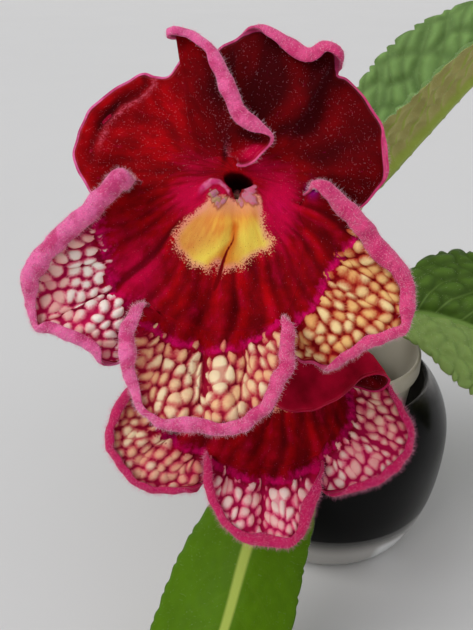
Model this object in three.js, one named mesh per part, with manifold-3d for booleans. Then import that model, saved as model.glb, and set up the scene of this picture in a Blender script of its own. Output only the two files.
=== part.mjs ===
// A potted cape primrose with two ruffled blooms, in a plastic growing pot that stands in a smoked-glass jar.
// Millimetres, +Z up, the jar's foot on z = 0 and its axis on the Z axis. +Y runs away from the front.
import * as THREE from 'three';
import { mergeVertices } from 'three/addons/utils/BufferGeometryUtils.js';
import Module from 'manifold-3d';

const wasm = await Module();
wasm.setup();

// Driving dimensions
const JAR_FOOT = 29; // radius of the flat foot
const JAR_BELLY = 42; // largest radius
const JAR_BELLY_Z = 44;
const JAR_MOUTH = 34; // outer radius at the rim
const JAR_HEIGHT = 65;
const JAR_WALL = 2.4;
const JAR_FLOOR = 8.6; // thickness of the clear base
const POT_TOP = 30; // outer radius of the growing pot's rim band
const POT_FOOT = 21;
const POT_WALL = 1.1;
const POT_HEIGHT = 65.5;
const POT_BAND = 6.5; // height of the rim band
const SOIL_TOP = 69;
const GAP = 0.3; // play between pieces that touch
const STEM_HOLE = 2.7; // radius of the plain holes in the soil
const STEM_DEPTH = 9;
const PETAL = 0.65; // thickness of a petal
const BLADE = 0.9; // thickness of a leaf blade
const POT_Z = JAR_FLOOR + GAP;

const mm = (x, y, z) => new THREE.Vector3(x, y, z);
const mix = THREE.MathUtils.lerp;
const ease = (a, b, x) => { // 0 at a, 1 at b, which may be the smaller
  const t = THREE.MathUtils.clamp((x - a) / (b - a), 0, 1);
  return t * t * (3 - 2 * t);
};
const rad = THREE.MathUtils.degToRad;
const root = new THREE.Group();

function add(name, geometry, colour, roughness, extra = {}) {
  const material = new THREE.MeshStandardMaterial({ color: colour, roughness, metalness: 0, ...extra });
  const mesh = new THREE.Mesh(geometry, material);
  mesh.name = name;
  root.add(mesh);
}

// Closed mesh to solid and back, for joins and cuts
function solid(geometry) {
  const bare = geometry.clone();
  for (const key of Object.keys(bare.attributes)) if (key !== 'position') bare.deleteAttribute(key);
  const m = mergeVertices(bare, 1e-4);
  const triVerts = new Uint32Array(m.index.array);
  const vertProperties = m.attributes.position.array;
  return new wasm.Manifold(new wasm.Mesh({ numProp: 3, vertProperties, triVerts }));
}

function geometryOf(body) {
  const mesh = body.getMesh();
  const g = new THREE.BufferGeometry();
  g.setAttribute('position', new THREE.BufferAttribute(new Float32Array(mesh.vertProperties), 3));
  g.setIndex(new THREE.BufferAttribute(new Uint32Array(mesh.triVerts), 1));
  return g;
}

// A ring of radius and height pairs turned about the Z axis
function turned(profile, sides) {
  const lathe = new THREE.LatheGeometry(profile.map(([r, z]) => new THREE.Vector2(r, z)), sides);
  return lathe.rotateX(Math.PI / 2);
}

// The way a sheet faces at each point, evened out among neighbours so that tight curls don't cross themselves
function sheetNormals(points, faces) {
  let normals = points.map(() => mm(0, 0, 0));
  for (const [a, b, c] of faces) {
    const n = points[b].clone().sub(points[a]).cross(points[c].clone().sub(points[a]));
    for (const k of [a, b, c]) normals[k].add(n);
  }
  normals.forEach((n) => n.normalize());
  for (let pass = 0; pass < 3; pass++) {
    const even = normals.map((n) => n.clone());
    for (const face of faces) {
      for (const i of face) for (const j of face) even[i].addScaledVector(normals[j], 0.25);
    }
    normals = even.map((n) => n.normalize());
  }
  return normals;
}

// Gives a sheet of points its thickness: both faces share one triangulation, and walls close every open edge
function thicken(points, faces, thickness, normals = sheetNormals(points, faces)) {
  const count = points.length;
  const xyz = new Float32Array(count * 6);
  points.forEach((p, k) => {
    const half = (Array.isArray(thickness) ? thickness[k] : thickness) / 2;
    const n = normals[k];
    p.clone().addScaledVector(n, half).toArray(xyz, k * 3);
    p.clone().addScaledVector(n, -half).toArray(xyz, (count + k) * 3);
  });
  const index = [];
  const edges = new Set();
  for (const [a, b, c] of faces) {
    index.push(a, b, c, count + a, count + c, count + b);
    for (const [i, j] of [[a, b], [b, c], [c, a]]) edges.add(i * count + j);
  }
  for (const edge of edges) {
    const i = Math.floor(edge / count);
    const j = edge % count;
    if (!edges.has(j * count + i)) index.push(j, i, count + i, j, count + i, count + j);
  }
  const g = new THREE.BufferGeometry();
  g.setAttribute('position', new THREE.BufferAttribute(xyz, 3));
  g.setIndex(index);
  return g;
}

// Triangles between two neighbouring rows of point numbers
function strip(faces, lower, upper, flip = false) {
  for (let k = 0; k + 1 < lower.length; k++) {
    const quad = [[lower[k], lower[k + 1], upper[k + 1]], [lower[k], upper[k + 1], upper[k]]];
    for (const [a, b, c] of quad) faces.push(flip ? [a, c, b] : [a, b, c]);
  }
}

// Triangles between two closed rings, the second with up to three times as many points as the first
function band(faces, inner, outer) {
  const step = Math.ceil(outer.length / inner.length);
  inner.forEach((a, k) => {
    const b = inner[(k + 1) % inner.length];
    const some = outer.slice(k * step, k * step + step);
    some.push(outer[Math.min(outer.length, k * step + step) % outer.length]);
    const middle = Math.floor(some.length / 2);
    faces.push([a, some[middle], b]);
    for (let j = 0; j + 1 < some.length; j++) faces.push([j < middle ? a : b, some[j], some[j + 1]]);
  });
}

// A value read from [place, value] pairs, eased between them
function along(table, t) {
  const k = Math.max(1, table.findIndex((row) => row[0] >= t));
  const [a, b] = [table[k - 1], table[k < 1 ? 1 : k]];
  const s = ease(0, 1, (t - a[0]) / (b[0] - a[0]));
  return mix(a[1], b[1], s);
}

// Jar, growing pot and soil
{
  const outer = [[0, 0], [JAR_FOOT, 0], [JAR_FOOT + 2.2, 0.9]];
  const lower = [[34.5, 5.5], [38.3, 15], [41, 27], [JAR_BELLY, JAR_BELLY_Z]];
  const upper = [[40.6, 52.5], [37.3, 60], [JAR_MOUTH + 0.3, 64]];
  const rim = [[JAR_MOUTH - 1, JAR_HEIGHT], [JAR_MOUTH - 2.1, 64]];
  const inner = [[35.2, 59], [38.2, 52], [JAR_BELLY - JAR_WALL, JAR_BELLY_Z], [38.5, 27], [35.6, 15.4],
    [31.5, JAR_FLOOR + 0.8], [28, JAR_FLOOR], [0, JAR_FLOOR]];
  add('glass_jar', turned([...outer, ...lower, ...upper, ...rim, ...inner], 40), 0x2e3236, 0.08,
    { transparent: true, opacity: 0.55 });
}

{
  const top = POT_HEIGHT;
  const under = top - POT_BAND; // the wall steps out under the band
  const outside = [[0, 1], [POT_FOOT - 3, 1], [POT_FOOT - 2, 0], [POT_FOOT, 0], [28.2, under],
    [POT_TOP - 0.4, under], [POT_TOP, under + 1], [POT_TOP, top - 0.6], [POT_TOP - 0.6, top],
    [POT_TOP - POT_WALL - 0.2, top]];
  const inside = [[28.2 - POT_WALL + 0.8, under], [POT_FOOT - POT_WALL, 2.4], [0, 2.4]];
  let pot = solid(turned([...outside, ...inside], 34));
  for (let k = 0; k < 6; k++) {
    const hole = new THREE.CylinderGeometry(2.6, 2.6, 8, 10).rotateX(Math.PI / 2);
    const a = (k * Math.PI) / 3;
    pot = pot.subtract(solid(hole.translate(11 * Math.cos(a), 11 * Math.sin(a), 1)));
  }
  add('nursery_pot', geometryOf(pot).translate(0, 0, POT_Z), 0x8c857f, 0.6);
}

// Where each stem stands in the soil: x, y
const STEMS = {
  leaf_right: [9.5, -2], leaf_upright: [6, 8.5], leaf_front: [-4, -10], leaf_left: [-10, 0],
  leaf_back: [-3.5, 9.5], flower_stalk_1: [-1.5, 2], flower_stalk_2: [2.5, -5],
};
{
  const foot = POT_FOOT - POT_WALL - GAP;
  const brim = 27.7 - GAP;
  const rings = 5;
  const sides = 26;
  const points = [mm(0, 0, SOIL_TOP)];
  const faces = [];
  for (let r = 1; r <= rings; r++) {
    for (let k = 0; k < sides; k++) {
      const a = (k / sides) * 2 * Math.PI;
      const d = (brim * r) / rings;
      const lumps = 0.7 * Math.sin(d * 0.9 + 3 * a) * Math.cos(d * 0.45 - 5 * a) - 0.8 * (r / rings) ** 3;
      points.push(mm(d * Math.cos(a), d * Math.sin(a), SOIL_TOP + lumps));
      const [i, j] = [(r - 1) * sides + 1 + k, (r - 1) * sides + 1 + ((k + 1) % sides)];
      if (r === 1) faces.push([0, i, j]);
      else faces.push([i - sides, i, j], [i - sides, j, j - sides]);
    }
  }
  const edge = (rings - 1) * sides + 1;
  for (let k = 0; k < sides; k++) {
    const a = (k / sides) * 2 * Math.PI;
    points.push(mm(foot * Math.cos(a), foot * Math.sin(a), POT_Z + 2.4 + GAP));
  }
  points.push(mm(0, 0, POT_Z + 2.4 + GAP));
  for (let k = 0; k < sides; k++) {
    const n = (k + 1) % sides;
    faces.push([edge + k, edge + sides + k, edge + sides + n], [edge + k, edge + sides + n, edge + n]);
    faces.push([edge + sides + n, edge + sides + k, edge + 2 * sides]);
  }
  const g = new THREE.BufferGeometry().setFromPoints(points).setIndex(faces.flat());
  let soil = solid(g);
  for (const [x, y] of Object.values(STEMS)) {
    const hole = new THREE.CylinderGeometry(STEM_HOLE, STEM_HOLE, 2 * STEM_DEPTH, 10).rotateX(Math.PI / 2);
    soil = soil.subtract(solid(hole.translate(x, y, SOIL_TOP)));
  }
  add('potting_soil', geometryOf(soil), 0x2b211a, 0.95);
}

// Leaves
// path: points of the midrib from the crown out. face: where the upper side looks at the base, a third out
// and the tip. left and right: widest half blades, seen from above with the tip away, and full: how far out
// they are widest. lift: how far each half folds up at base and tip, in degrees, and curl: how much more at
// its edge.
function leaf(name, form) {
  const { path, face, left, right, full = 0.8, from = 0.09, lift, curl, wave, rows, sides, colour } = form;
  const foot = STEMS[name];
  const start = mm(foot[0], foot[1], SOIL_TOP - STEM_DEPTH + GAP + 0.3);
  const spine = new THREE.CatmullRomCurve3([start, mm(foot[0], foot[1], SOIL_TOP - 2),
    mm(foot[0] * 1.05, foot[1] * 1.05, SOIL_TOP + 4), ...path.map((p) => mm(...p))], false, 'centripetal');
  const points = [];
  const thickness = [];
  const faces = [];
  let last = null;
  for (let r = 0; r <= rows; r++) {
    const t = r / rows;
    const at = spine.getPointAt(t);
    const tangent = spine.getTangentAt(t);
    const [low, middle, high] = face.map((f) => mm(...f));
    const up = t < 0.35 ? low.lerp(middle, t / 0.35) : middle.lerp(high, (t - 0.35) / 0.65);
    up.addScaledVector(tangent, -up.dot(tangent)).normalize();
    const across = tangent.clone().cross(up);
    const row = [];
    const blade = ease(0.1, 0.3, t); // 0 on the stalk, 1 on the blade
    const out = Math.max(0, (t - from) / (1.06 - from));
    const shape = Math.sin(Math.PI * out ** full) ** 0.62 * ease(from - 0.04, from + 0.32, t);
    for (let k = -sides; k <= sides; k++) {
      const s = k / sides;
      const wide = s < 0 ? left : right;
      const tooth = 1 + (Math.abs(s) === 1 ? 0.045 * (r % 2) * blade : 0);
      const w = Math.max(1.45, wide * shape) * Math.abs(s) * tooth;
      const fold = s < 0 ? lift[0] : lift[1];
      const turn = rad(blade * (mix(fold[0], fold[1], t) + curl * Math.abs(s)));
      const ripple = blade * wave * Math.abs(s) * Math.sin(t * 19 + (s < 0 ? 1.3 : 0));
      const quilt = blade * 0.5 * Math.sin(t * 44 - Math.abs(s) * 4) * Math.sin(Math.PI * Math.abs(s));
      const p = at.clone().addScaledVector(across, Math.sign(s) * w * Math.cos(turn));
      points.push(p.addScaledVector(up, w * Math.sin(turn) + ripple + quilt));
      const rib = 1.6 * (1 - Math.abs(s)) ** 3 * (1 - 0.8 * t);
      thickness.push(mix(2.5, BLADE + rib, blade));
      row.push(points.length - 1);
    }
    if (last) strip(faces, last, row, true);
    last = row;
  }
  add(name, thicken(points, faces, thickness), colour, 0.5);
}

leaf('leaf_right', {
  path: [[13, -2, 83], [26, -3.5, 88.5], [39, -4.5, 86.5], [56, -7, 80], [76, -10, 66], [92, -13, 48]],
  face: [[-1, 0.2, 0.1], [0, -0.1, 1], [0.5, -0.2, 0.8]], left: 30, right: 23, from: 0.14,
  lift: [[36, 36], [-13, -13]], curl: -12, wave: 1.3, rows: 26, sides: 4, colour: 0x35591f,
});
leaf('leaf_upright', {
  path: [[5, 12, 85], [3.5, 16, 102], [5, 18, 118], [17, 20, 132.5], [30, 22, 147.5], [43, 24, 162],
    [60, 27, 174], [79, 29, 178]],
  face: [[-0.6, -0.8, 0], [-0.8, -0.1, 0.6], [-0.3, 0, 1]], left: 27, right: 24, full: 1.05,
  lift: [[48, 42], [84, 14]], curl: 4, wave: 1.2, rows: 26, sides: 4, colour: 0x5d6f2c,
});
leaf('leaf_front', {
  path: [[-7.5, -24, 84], [-15.5, -42, 80], [-24, -58, 67], [-35, -72.5, 50.7], [-42.5, -87, 33.8],
    [-51.5, -104, 18], [-60, -122, 9]],
  face: [[0.3, 1, 0.1], [0, 0.1, 1], [0, -0.6, 1]], left: 24, right: 21, full: 1.5, from: 0.16,
  lift: [[-10, -10], [-10, -10]], curl: -14, wave: 1.4, rows: 26, sides: 4, colour: 0x6f9a35,
});
leaf('leaf_left', {
  path: [[-20, 3, 84], [-36, 12, 96], [-52, 21, 103], [-66, 29, 103], [-78, 35, 97]],
  face: [[1, 0, 0.1], [0.1, 0, 1], [-0.5, -0.3, 1]], left: 20, right: 20, lift: [[12, 12], [12, 12]],
  curl: -14, wave: 1.4, rows: 18, sides: 3, colour: 0x4c7427,
});
leaf('leaf_back', {
  path: [[-6, 22, 84], [-9, 40, 96], [-12, 60, 102], [-15, 80, 99], [-18, 97, 87]],
  face: [[0.3, -1, 0.1], [0, -0.1, 1], [0, 0.6, 1]], left: 21, right: 21, lift: [[12, 12], [12, 12]],
  curl: -14, wave: 1.4, rows: 18, sides: 3, colour: 0x4c7427,
});

// Blooms
// A lobe's edge runs anticlockwise seen from the front, from one notch to the next. Each row holds x, y
// and height in front of the throat, then the hem: degrees that it rolls forward, its radius and the flap
// after it.
const LOBES_1 = {
  right: [
    [9, -29, 0, 0, 1, 0], [11, -33.5, -1.5, 0, 1, 0], [13.5, -37.5, -1.5, 0, 1, 0],
    [16.5, -38, 0, 20, 1, 0], [19, -39, 2, 90, 1, 0], [21, -38.5, 4, 165, 1.1, 0.6],
    [26, -35, 5, 175, 1.1, 0.9], [31, -33, 6, 175, 1.1, 0.9], [34.5, -31, 6, 175, 1.2, 1],
    [36, -27, 5.5, 175, 1.2, 1.9], [36.5, -22.5, 5, 175, 1.2, 2.2], [35, -18, 5, 175, 1.2, 2.6],
    [31, -13.5, 5.5, 175, 1.2, 2.9], [27, -8, 6, 175, 1.2, 2.7], [23, -4, 6.5, 175, 1.2, 2.4],
    [19, -0.5, 6.5, 170, 1.2, 1.6], [16.5, 0, 5.5, 140, 1.1, 0.6], [14.8, -2, 3, 60, 1, 0],
    [13.5, -4.5, 0, 0, 1, 0],
  ],
  upper_right: [
    [13.5, -4.5, 0, 0, 1, 0], [20, -7, -5, 0, 1, 0], [25.5, -5.5, -5, 0, 1, 0],
    [30, -1.5, -3, 10, 1, 0], [32, 1.5, -2, 60, 1, 0], [32, 6, -1, 130, 1, 0.2],
    [31.5, 12.5, -2, 40, 1, 0], [28, 19.5, -3.5, 10, 1, 0], [24, 24, -4, 0, 1, 0],
    [22.5, 24.6, -3, 10, 1, 0], [22, 26.2, -1.5, 60, 1.1, 0], [21, 28, 1, 150, 1.3, 0.6],
    [18.5, 29, 1, 175, 1.3, 1.4], [15.5, 28, 0.5, 175, 1.1, 1.9], [11.5, 30.5, 0, 175, 1.1, 1.8],
    [7, 33, -0.5, 175, 1.1, 1.5], [4, 33.5, -1, 120, 1, 0.3], [0, 32, -2.5, 10, 1, 0],
    [-4, 30, -4, 0, 1, 0], [-7, 22, -6, 0, 1, 0], [-6.5, 13, -5.5, 0, 1, 0], [-1, 6.5, -1.5, 0, 1, 0],
  ],
  upper_left: [
    [-1, 6.5, -1.5, 0, 1, 0], [1.2, 4, 1.5, 0, 1, 0], [4, 4, 4, 0, 1, 0], [6.5, 6, 5.5, 10, 1, 0],
    [8, 8.5, 6, 100, 1, 0.2], [5.5, 11.5, 6.5, 165, 1.1, 1.6], [2, 15, 6.5, 175, 1.1, 1.9],
    [-0.5, 20.5, 6, 175, 1.1, 1.8], [-4, 26.5, 5.5, 175, 1.1, 1.3], [-7.5, 29.5, 5, 175, 1.1, 0.8],
    [-10.5, 31, 4.5, 170, 1.1, 0.6], [-13, 31.5, 4.5, 120, 1, 0.3], [-12, 29.5, 2, 20, 1, 0],
    [-11.5, 27.5, 0, -20, 1, 0], [-14.5, 24, -2, -20, 1, 0], [-17.5, 24, -3, 15, 1, 0],
    [-20, 25, -4, 15, 1, 0], [-26.5, 22, -5, 15, 1, 0], [-32, 17.5, -5, 15, 1, 0],
    [-34.5, 12, -4.5, 15, 1, 0], [-35.5, 7, -4, 15, 1, 0], [-33, 1, -3.5, 0, 1, 0],
    [-28.5, -4, -3, 0, 1, 0], [-22.5, -3.5, -2, 0, 1, 0], [-18, -1.5, -1, 0, 1, 0],
  ],
  left: [
    [-18, -1.5, -1, 0, 1, 0], [-19.5, -0.2, 1, 30, 1.2, 0], [-21.2, 1.4, 3.5, 70, 1.3, 0],
    [-23.8, 2.5, 6, 180, 1.5, 0], [-26.5, 0.5, 7, 260, 1.8, 0], [-30.5, -4, 6.5, 270, 1.8, 0],
    [-36, -9, 6, 270, 1.8, 0], [-40.5, -14, 6, 270, 1.8, 0], [-43.5, -19, 5.5, 260, 1.7, 0],
    [-43.5, -23, 4.5, 230, 1.4, 0], [-42.5, -27, 4, 200, 1.2, 0], [-41, -31, 4, 160, 1.1, 0.3],
    [-38, -31.5, 4.5, 170, 1.1, 1.1], [-34, -33, 4.5, 175, 1.1, 1.2], [-30, -35, 4, 175, 1.1, 1.1],
    [-28.5, -37.5, 3, 120, 1, 0.3], [-25, -38, 1, 30, 1, 0], [-21.5, -35, -0.5, 0, 1, 0],
    [-18.5, -31, -0.5, 0, 1, 0], [-17, -27, 0, 0, 1, 0],
  ],
  lower: [
    [-17, -27, 0, 0, 1, 0], [-17.8, -25.6, 3, 30, 1, 0], [-19.5, -25.2, 6, 120, 1.2, 0],
    [-21.8, -26.8, 8.3, 200, 1.3, 0], [-23.5, -30.5, 9.5, 230, 1.3, 0], [-23.5, -34.5, 10, 230, 1.3, 0],
    [-23, -38.5, 10, 225, 1.3, 0], [-21.5, -42.5, 10, 200, 1.2, 0], [-19.5, -46, 10, 150, 1.1, 0.2],
    [-17, -48.5, 10.5, 165, 1.1, 0.8], [-13.5, -50, 11.5, 175, 1.1, 1.6], [-9, -50, 12, 175, 1.1, 2],
    [-5, -50.5, 12, 175, 1.1, 2.3], [-1.5, -51.5, 12, 175, 1.1, 2.5], [2.5, -50.5, 11.5, 175, 1.1, 1.9],
    [5, -48.5, 11, 170, 1.1, 1], [7.5, -46, 10.5, 175, 1.1, 1.1], [10, -41.5, 10, 175, 1.1, 1.5],
    [12, -37, 9, 175, 1.1, 1.6], [12, -33, 8.5, 175, 1.1, 1.4], [11.5, -29.5, 6.5, 150, 1.1, 0.6],
    [10, -28.2, 3.5, 60, 1, 0], [9, -29, 0, 0, 1, 0],
  ],
};

const LOBES_2 = {
  right: [
    [8, -29.5, 0, 0, 1, 0], [9, -34.5, -1, 0, 1, 0], [10, -38.5, 0, 30, 1, 0],
    [13.5, -38.5, 1.5, 140, 1.1, 0.2], [18.5, -37, 3, 200, 1.2, 0.3], [23, -35.5, 3.5, 200, 1.2, 0.3],
    [27.5, -31.5, 4, 200, 1.2, 0.2], [30.5, -27.5, 4, 200, 1.2, 0], [31, -23, 4, 190, 1.2, 0],
    [29.5, -18, 3.5, 180, 1.2, 0], [26.5, -13, 2.5, 150, 1.2, 0], [23, -9.5, 0, 60, 1, 0],
    [18, -7.5, -2, 0, 1, 0], [13, -8.5, -2, 0, 1, 0],
  ],
  upper_right: [
    [13, -8.5, -2, 0, 1, 0], [18, -11.5, 2, 0, 1, 0], [22.5, -12, 5, 0, 1, 0],
    [24, -9.5, 7.5, 0, 1, 0], [22, -7.5, 9.5, 0, 1, 0], [18, -8, 11, 0, 1, 0],
    [14.5, -10.5, 11.5, 20, 1, 0], [11, -13.5, 11.5, 30, 1, 0], [5, -16, 11, 30, 1, 0],
    [-0.5, -16, 9.5, 20, 1, 0], [-4.5, -13, 7, 0, 1, 0], [-4.5, -6, 5.5, 0, 1, 0],
    [-2.5, 2, 3.5, 0, 1, 0], [-2, 7, -1, 0, 1, 0],
  ],
  upper_left: [
    [-2, 7, -1, 0, 1, 0], [0.5, 9.5, 0.5, 20, 1, 0], [0, 13.5, 1, 60, 1, 0], [-4.5, 17.5, 1.5, 120, 1.1, 0.4],
    [-10, 19.5, 1.5, 170, 1.1, 1], [-15.5, 19, 1.5, 170, 1.1, 1], [-22, 16, 1, 120, 1.1, 0.3],
    [-27, 11.5, 0, 40, 1, 0], [-28, 5, -0.5, 10, 1, 0], [-24, 0, -1, 0, 1, 0], [-16, -3, -1, 0, 1, 0],
  ],
  left: [
    [-16, -3, -1, 0, 1, 0], [-23.5, -2.5, 2, 60, 1, 0], [-31, -5, 3.5, 180, 1.2, 0],
    [-37, -10, 4, 200, 1.2, 0], [-41.5, -16, 4, 210, 1.2, 0], [-43.5, -21, 4, 210, 1.2, 0],
    [-44, -25.5, 4, 210, 1.2, 0], [-41.5, -30.5, 4, 200, 1.2, 0], [-37, -35.5, 4, 190, 1.2, 0],
    [-30.5, -38, 3.5, 190, 1.2, 0], [-24.5, -37.5, 2.5, 160, 1.2, 0], [-20.5, -36.5, 0.5, 40, 1, 0],
    [-18.5, -30, 0, 0, 1, 0],
  ],
  lower: [
    [-18.5, -30, 0, 0, 1, 0], [-19.5, -28.5, 3, 60, 1, 0], [-20.5, -30.5, 5.5, 180, 1.1, 0],
    [-20, -35, 6.5, 190, 1.1, 0], [-18.5, -40, 7.5, 180, 1.1, 0], [-14.5, -45, 8.5, 160, 1.1, 0.5],
    [-10, -48.5, 9, 175, 1.1, 1.4], [-3.5, -49.5, 9, 175, 1.1, 1.7], [1, -49, 9, 170, 1.1, 1],
    [4, -46.5, 8.5, 170, 1.1, 0.9], [6.5, -41.5, 8, 175, 1.1, 1.5], [8.2, -36.5, 7, 160, 1.1, 1],
    [8.9, -33, 5.5, 90, 1, 0], [9, -30.5, 3, 30, 1, 0], [8, -29.5, 0, 0, 1, 0],
  ],
};

// Folds that run out over the lower lobe: x where they cross y = -20 and y = -48, height and half width
const FOLDS_1 = [[-7, -7.5, -2.2, 2.6], [-10.5, -12, 1.2, 2.6], [-3, -2.5, 1.4, 2.4], [1.5, 2.5, -1.2, 2.2]];
const FOLDS_2 = [[-5, -6, -2.4, 2.8], [-9, -11, 1.2, 2.8], [-1, -1, 1.2, 2.6]];

const GAPE = 0.5; // half the slit between two lobes at their notch
const NOTCH = 3.2; // length of the plain side edge beside a notch
const HEM_ROWS = [0.3, 0.62, 1];
const FACE_ROWS = [0.14, 0.32, 0.52, 0.72, 0.88, 1];
const DISC_ROWS = [0, 0.3, 0.65, 1];
const TUBE = [[27.5, 0.9], [25, 2.6], [19, 3.7], [11, 4.2], [4.5, 4.1]]; // depth and radius, base to mouth

function foldHeight(folds, x, y) {
  const out = ease(-14, -24, y);
  let h = 0;
  for (const [near, far, height, wide] of folds) {
    const line = mix(near, far, (y + 20) / -28);
    h += height * Math.exp(-(((x - line) / wide) ** 2));
  }
  return h * out;
}

// Soft hummocks of the netted, pebbled outer lobes
function pebbles(x, y) {
  const far = ease(21, 28, Math.hypot(x * 0.95, y)) * ease(2, -4, y);
  return 0.45 * far * Math.sin(x * 1.35 + 0.6 * Math.sin(y)) * Math.sin(y * 1.15 + 0.5 * Math.sin(x));
}

// One lobe as columns of points from the notch ring out over the rolled hem
function lobeColumns(rows, ringA, ringB, ringPoint, spacing, folds, hood) {
  const edge = new THREE.CatmullRomCurve3(rows.map(([x, y, z]) => mm(x, y, z)), false, 'centripetal');
  edge.arcLengthDivisions = 400;
  const count = Math.round(edge.getLength() / spacing);
  const side = NOTCH / edge.getLength();
  const hemAt = (u, k) => {
    const f = edge.getUtoTmapping(u) * (rows.length - 1);
    const i = Math.min(rows.length - 2, Math.floor(f));
    return mix(rows[i][k], rows[i + 1][k], f - i);
  };
  const columns = [];
  for (let c = 0; c <= count; c++) {
    const u = mix(side, 1 - side, c / count);
    const rim = edge.getPointAt(u);
    const t = edge.getPointAt(Math.min(1, u + 0.02)).sub(edge.getPointAt(Math.max(0, u - 0.02)));
    const outward = mm(t.y, -t.x, 0).normalize();
    const calm = Math.sin(Math.PI * Math.min(0.5, 6 * Math.min(u, 1 - u))) ** 2; // 0 at the notches
    const turn = rad(hemAt(u, 3) * calm);
    const radius = hemAt(u, 4);
    const before = edge.getTangentAt(Math.max(0, u - 0.03));
    const after = edge.getTangentAt(Math.min(1, u + 0.03));
    const bend = THREE.MathUtils.clamp(before.x * after.y - before.y * after.x, 0, 1);
    const wound = Math.abs(turn);
    const flap = Math.max(hemAt(u, 5) * (1 - 0.6 * bend) * calm, 1.3 - radius * wound); // less at corners
    const reach = wound > 1.57 ? radius : radius * Math.sin(wound) + flap * Math.cos(turn);
    const folded = hood.lengthSq() > 0;
    const start = rim.clone().addScaledVector(outward, folded ? 0 : -reach * calm);
    const base = ringPoint(mix(ringA, ringB, c / count));
    const column = [];
    for (const s of FACE_ROWS) {
      const p = base.clone().lerp(start, s);
      p.z = mix(base.z, start.z, ease(0, 1, s) * 0.6 + s * 0.4);
      p.addScaledVector(hood, 4 * s * (1 - s) * Math.sin(Math.PI * u));
      const quiet = 1 - ease(0.75, 1, s);
      p.z += foldHeight(folds, p.x, p.y) * (1 - ease(0.82, 1, s)) + pebbles(p.x, p.y) * quiet;
      column.push(p);
    }
    const inside = column[column.length - 3];
    const slope = (start.z - inside.z) / Math.max(1.5, Math.hypot(start.x - inside.x, start.y - inside.y));
    const rise = THREE.MathUtils.clamp(slope, -0.7, 0.7) * calm;
    const out = folded ? start.clone().sub(inside) : outward.setZ(rise);
    out.addScaledVector(t.normalize(), -out.dot(t)).normalize();
    const forward = out.clone().cross(t);
    const whole = radius * wound + flap;
    for (const s of HEM_ROWS) {
      const arc = Math.min(s * whole, radius * wound);
      const a = arc / radius;
      const rest = s * whole - arc;
      const way = Math.sign(turn) || 1;
      const p = start.clone().addScaledVector(out, radius * Math.sin(a) + rest * Math.cos(a));
      column.push(p.addScaledVector(forward, way * (radius * (1 - Math.cos(a)) + rest * Math.sin(a))));
    }
    columns.push(column);
  }
  return columns;
}

// hoods: for a lobe that folds over the throat, how far its middle bows up and forward
function corolla({ lobes, folds, palate, spacing, hoods = {} }) {
  const names = Object.keys(lobes);
  const notches = names.map((n) => mm(...lobes[n][0].slice(0, 3)));
  const ring = new THREE.CatmullRomCurve3(notches, true, 'centripetal');
  const steps = names.length;
  const ringPoint = (v) => ring.getPoint((((v % steps) + steps) % steps) / steps);
  const points = [];
  const faces = [];
  const mouths = []; // place of every column on the notch ring
  const lobeCells = [];
  names.forEach((name, k) => {
    const length = ring.getLength() / steps;
    const slit = GAPE / length;
    const columns = lobeColumns(lobes[name], k + slit, k + 1 - slit, ringPoint, spacing, folds,
      mm(...(hoods[name] ?? [0, 0, 0])));
    columns.forEach((column, c) => {
      mouths.push(mix(k + slit, k + 1 - slit, c / (columns.length - 1)));
      lobeCells.push({ column, lobe: k });
    });
  });
  // tube and disc round the mouth, with fewer columns inside than at the lobes
  const put = (p) => points.push(p) - 1;
  const coarse = mouths.filter((v, k) => k % 3 === 0);
  const angle = (v) => Math.atan2(ringPoint(v).y, ringPoint(v).x);
  const rows = TUBE.map(([depth, r]) => coarse.map((v) => (
    put(mm(r * Math.cos(angle(v)), 0.92 * r * Math.sin(angle(v)), -depth)))));
  const [cx, cy, high, wx, wy] = palate;
  for (const s of DISC_ROWS) {
    rows.push((s < 0.5 ? coarse : mouths).map((v) => {
      const a = angle(v);
      const p = mm(3.9 * Math.cos(a), 3.2 * Math.sin(a), -1.2).lerp(ringPoint(v), s);
      p.z += high * Math.exp(-(((p.x - cx) / wx) ** 2) - ((p.y - cy) / wy) ** 2) * ease(0, 0.3, s);
      return put(p);
    }));
  }
  const base = put(mm(0, 0, -TUBE[0][0] - 0.4));
  coarse.forEach((v, k) => faces.push([base, rows[0][k], rows[0][(k + 1) % coarse.length]]));
  for (let r = 0; r + 1 < rows.length; r++) band(faces, rows[r], rows[r + 1]);
  const rim = rows[rows.length - 1];
  let last = null;
  const groups = [faces, ...names.map(() => [])];
  lobeCells.forEach(({ column, lobe }, k) => {
    const line = [rim[k], ...column.map(put)];
    if (last && last.lobe === lobe) strip(groups[lobe + 1], last.line, line, false);
    last = { line, lobe };
  });
  return { points, groups };
}

// The way a bloom looks, as a turn about its throat
function facing(pitch, at) {
  const right = mm(1, 0, 0);
  const up = mm(0, Math.sin(rad(pitch)), Math.cos(rad(pitch)));
  const front = mm(0, -Math.cos(rad(pitch)), Math.sin(rad(pitch)));
  return new THREE.Matrix4().makeBasis(right, up, front).setPosition(...at);
}

const BLOOM_1 = facing(27, [-34.6, -74.5, 154.8]);
const BLOOM_2 = facing(27, [-22.4, -64.7, 112.4]);

function bloom(name, place, form) {
  const { points, groups } = corolla(form);
  const normals = sheetNormals(points, groups.flat());
  const parts = groups.map((faces) => solid(thicken(points, faces, PETAL, normals)));
  // lobes that touch beside a notch grow together, and any bubble shut in there is filled
  const whole = parts.reduce((sum, part) => sum.add(part)).simplify(0.02);
  const [limb] = whole.decompose().sort((a, b) => b.volume() - a.volume());
  add(name, geometryOf(limb).applyMatrix4(place), 0xc0142a, 0.7, { side: THREE.DoubleSide });
}

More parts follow.
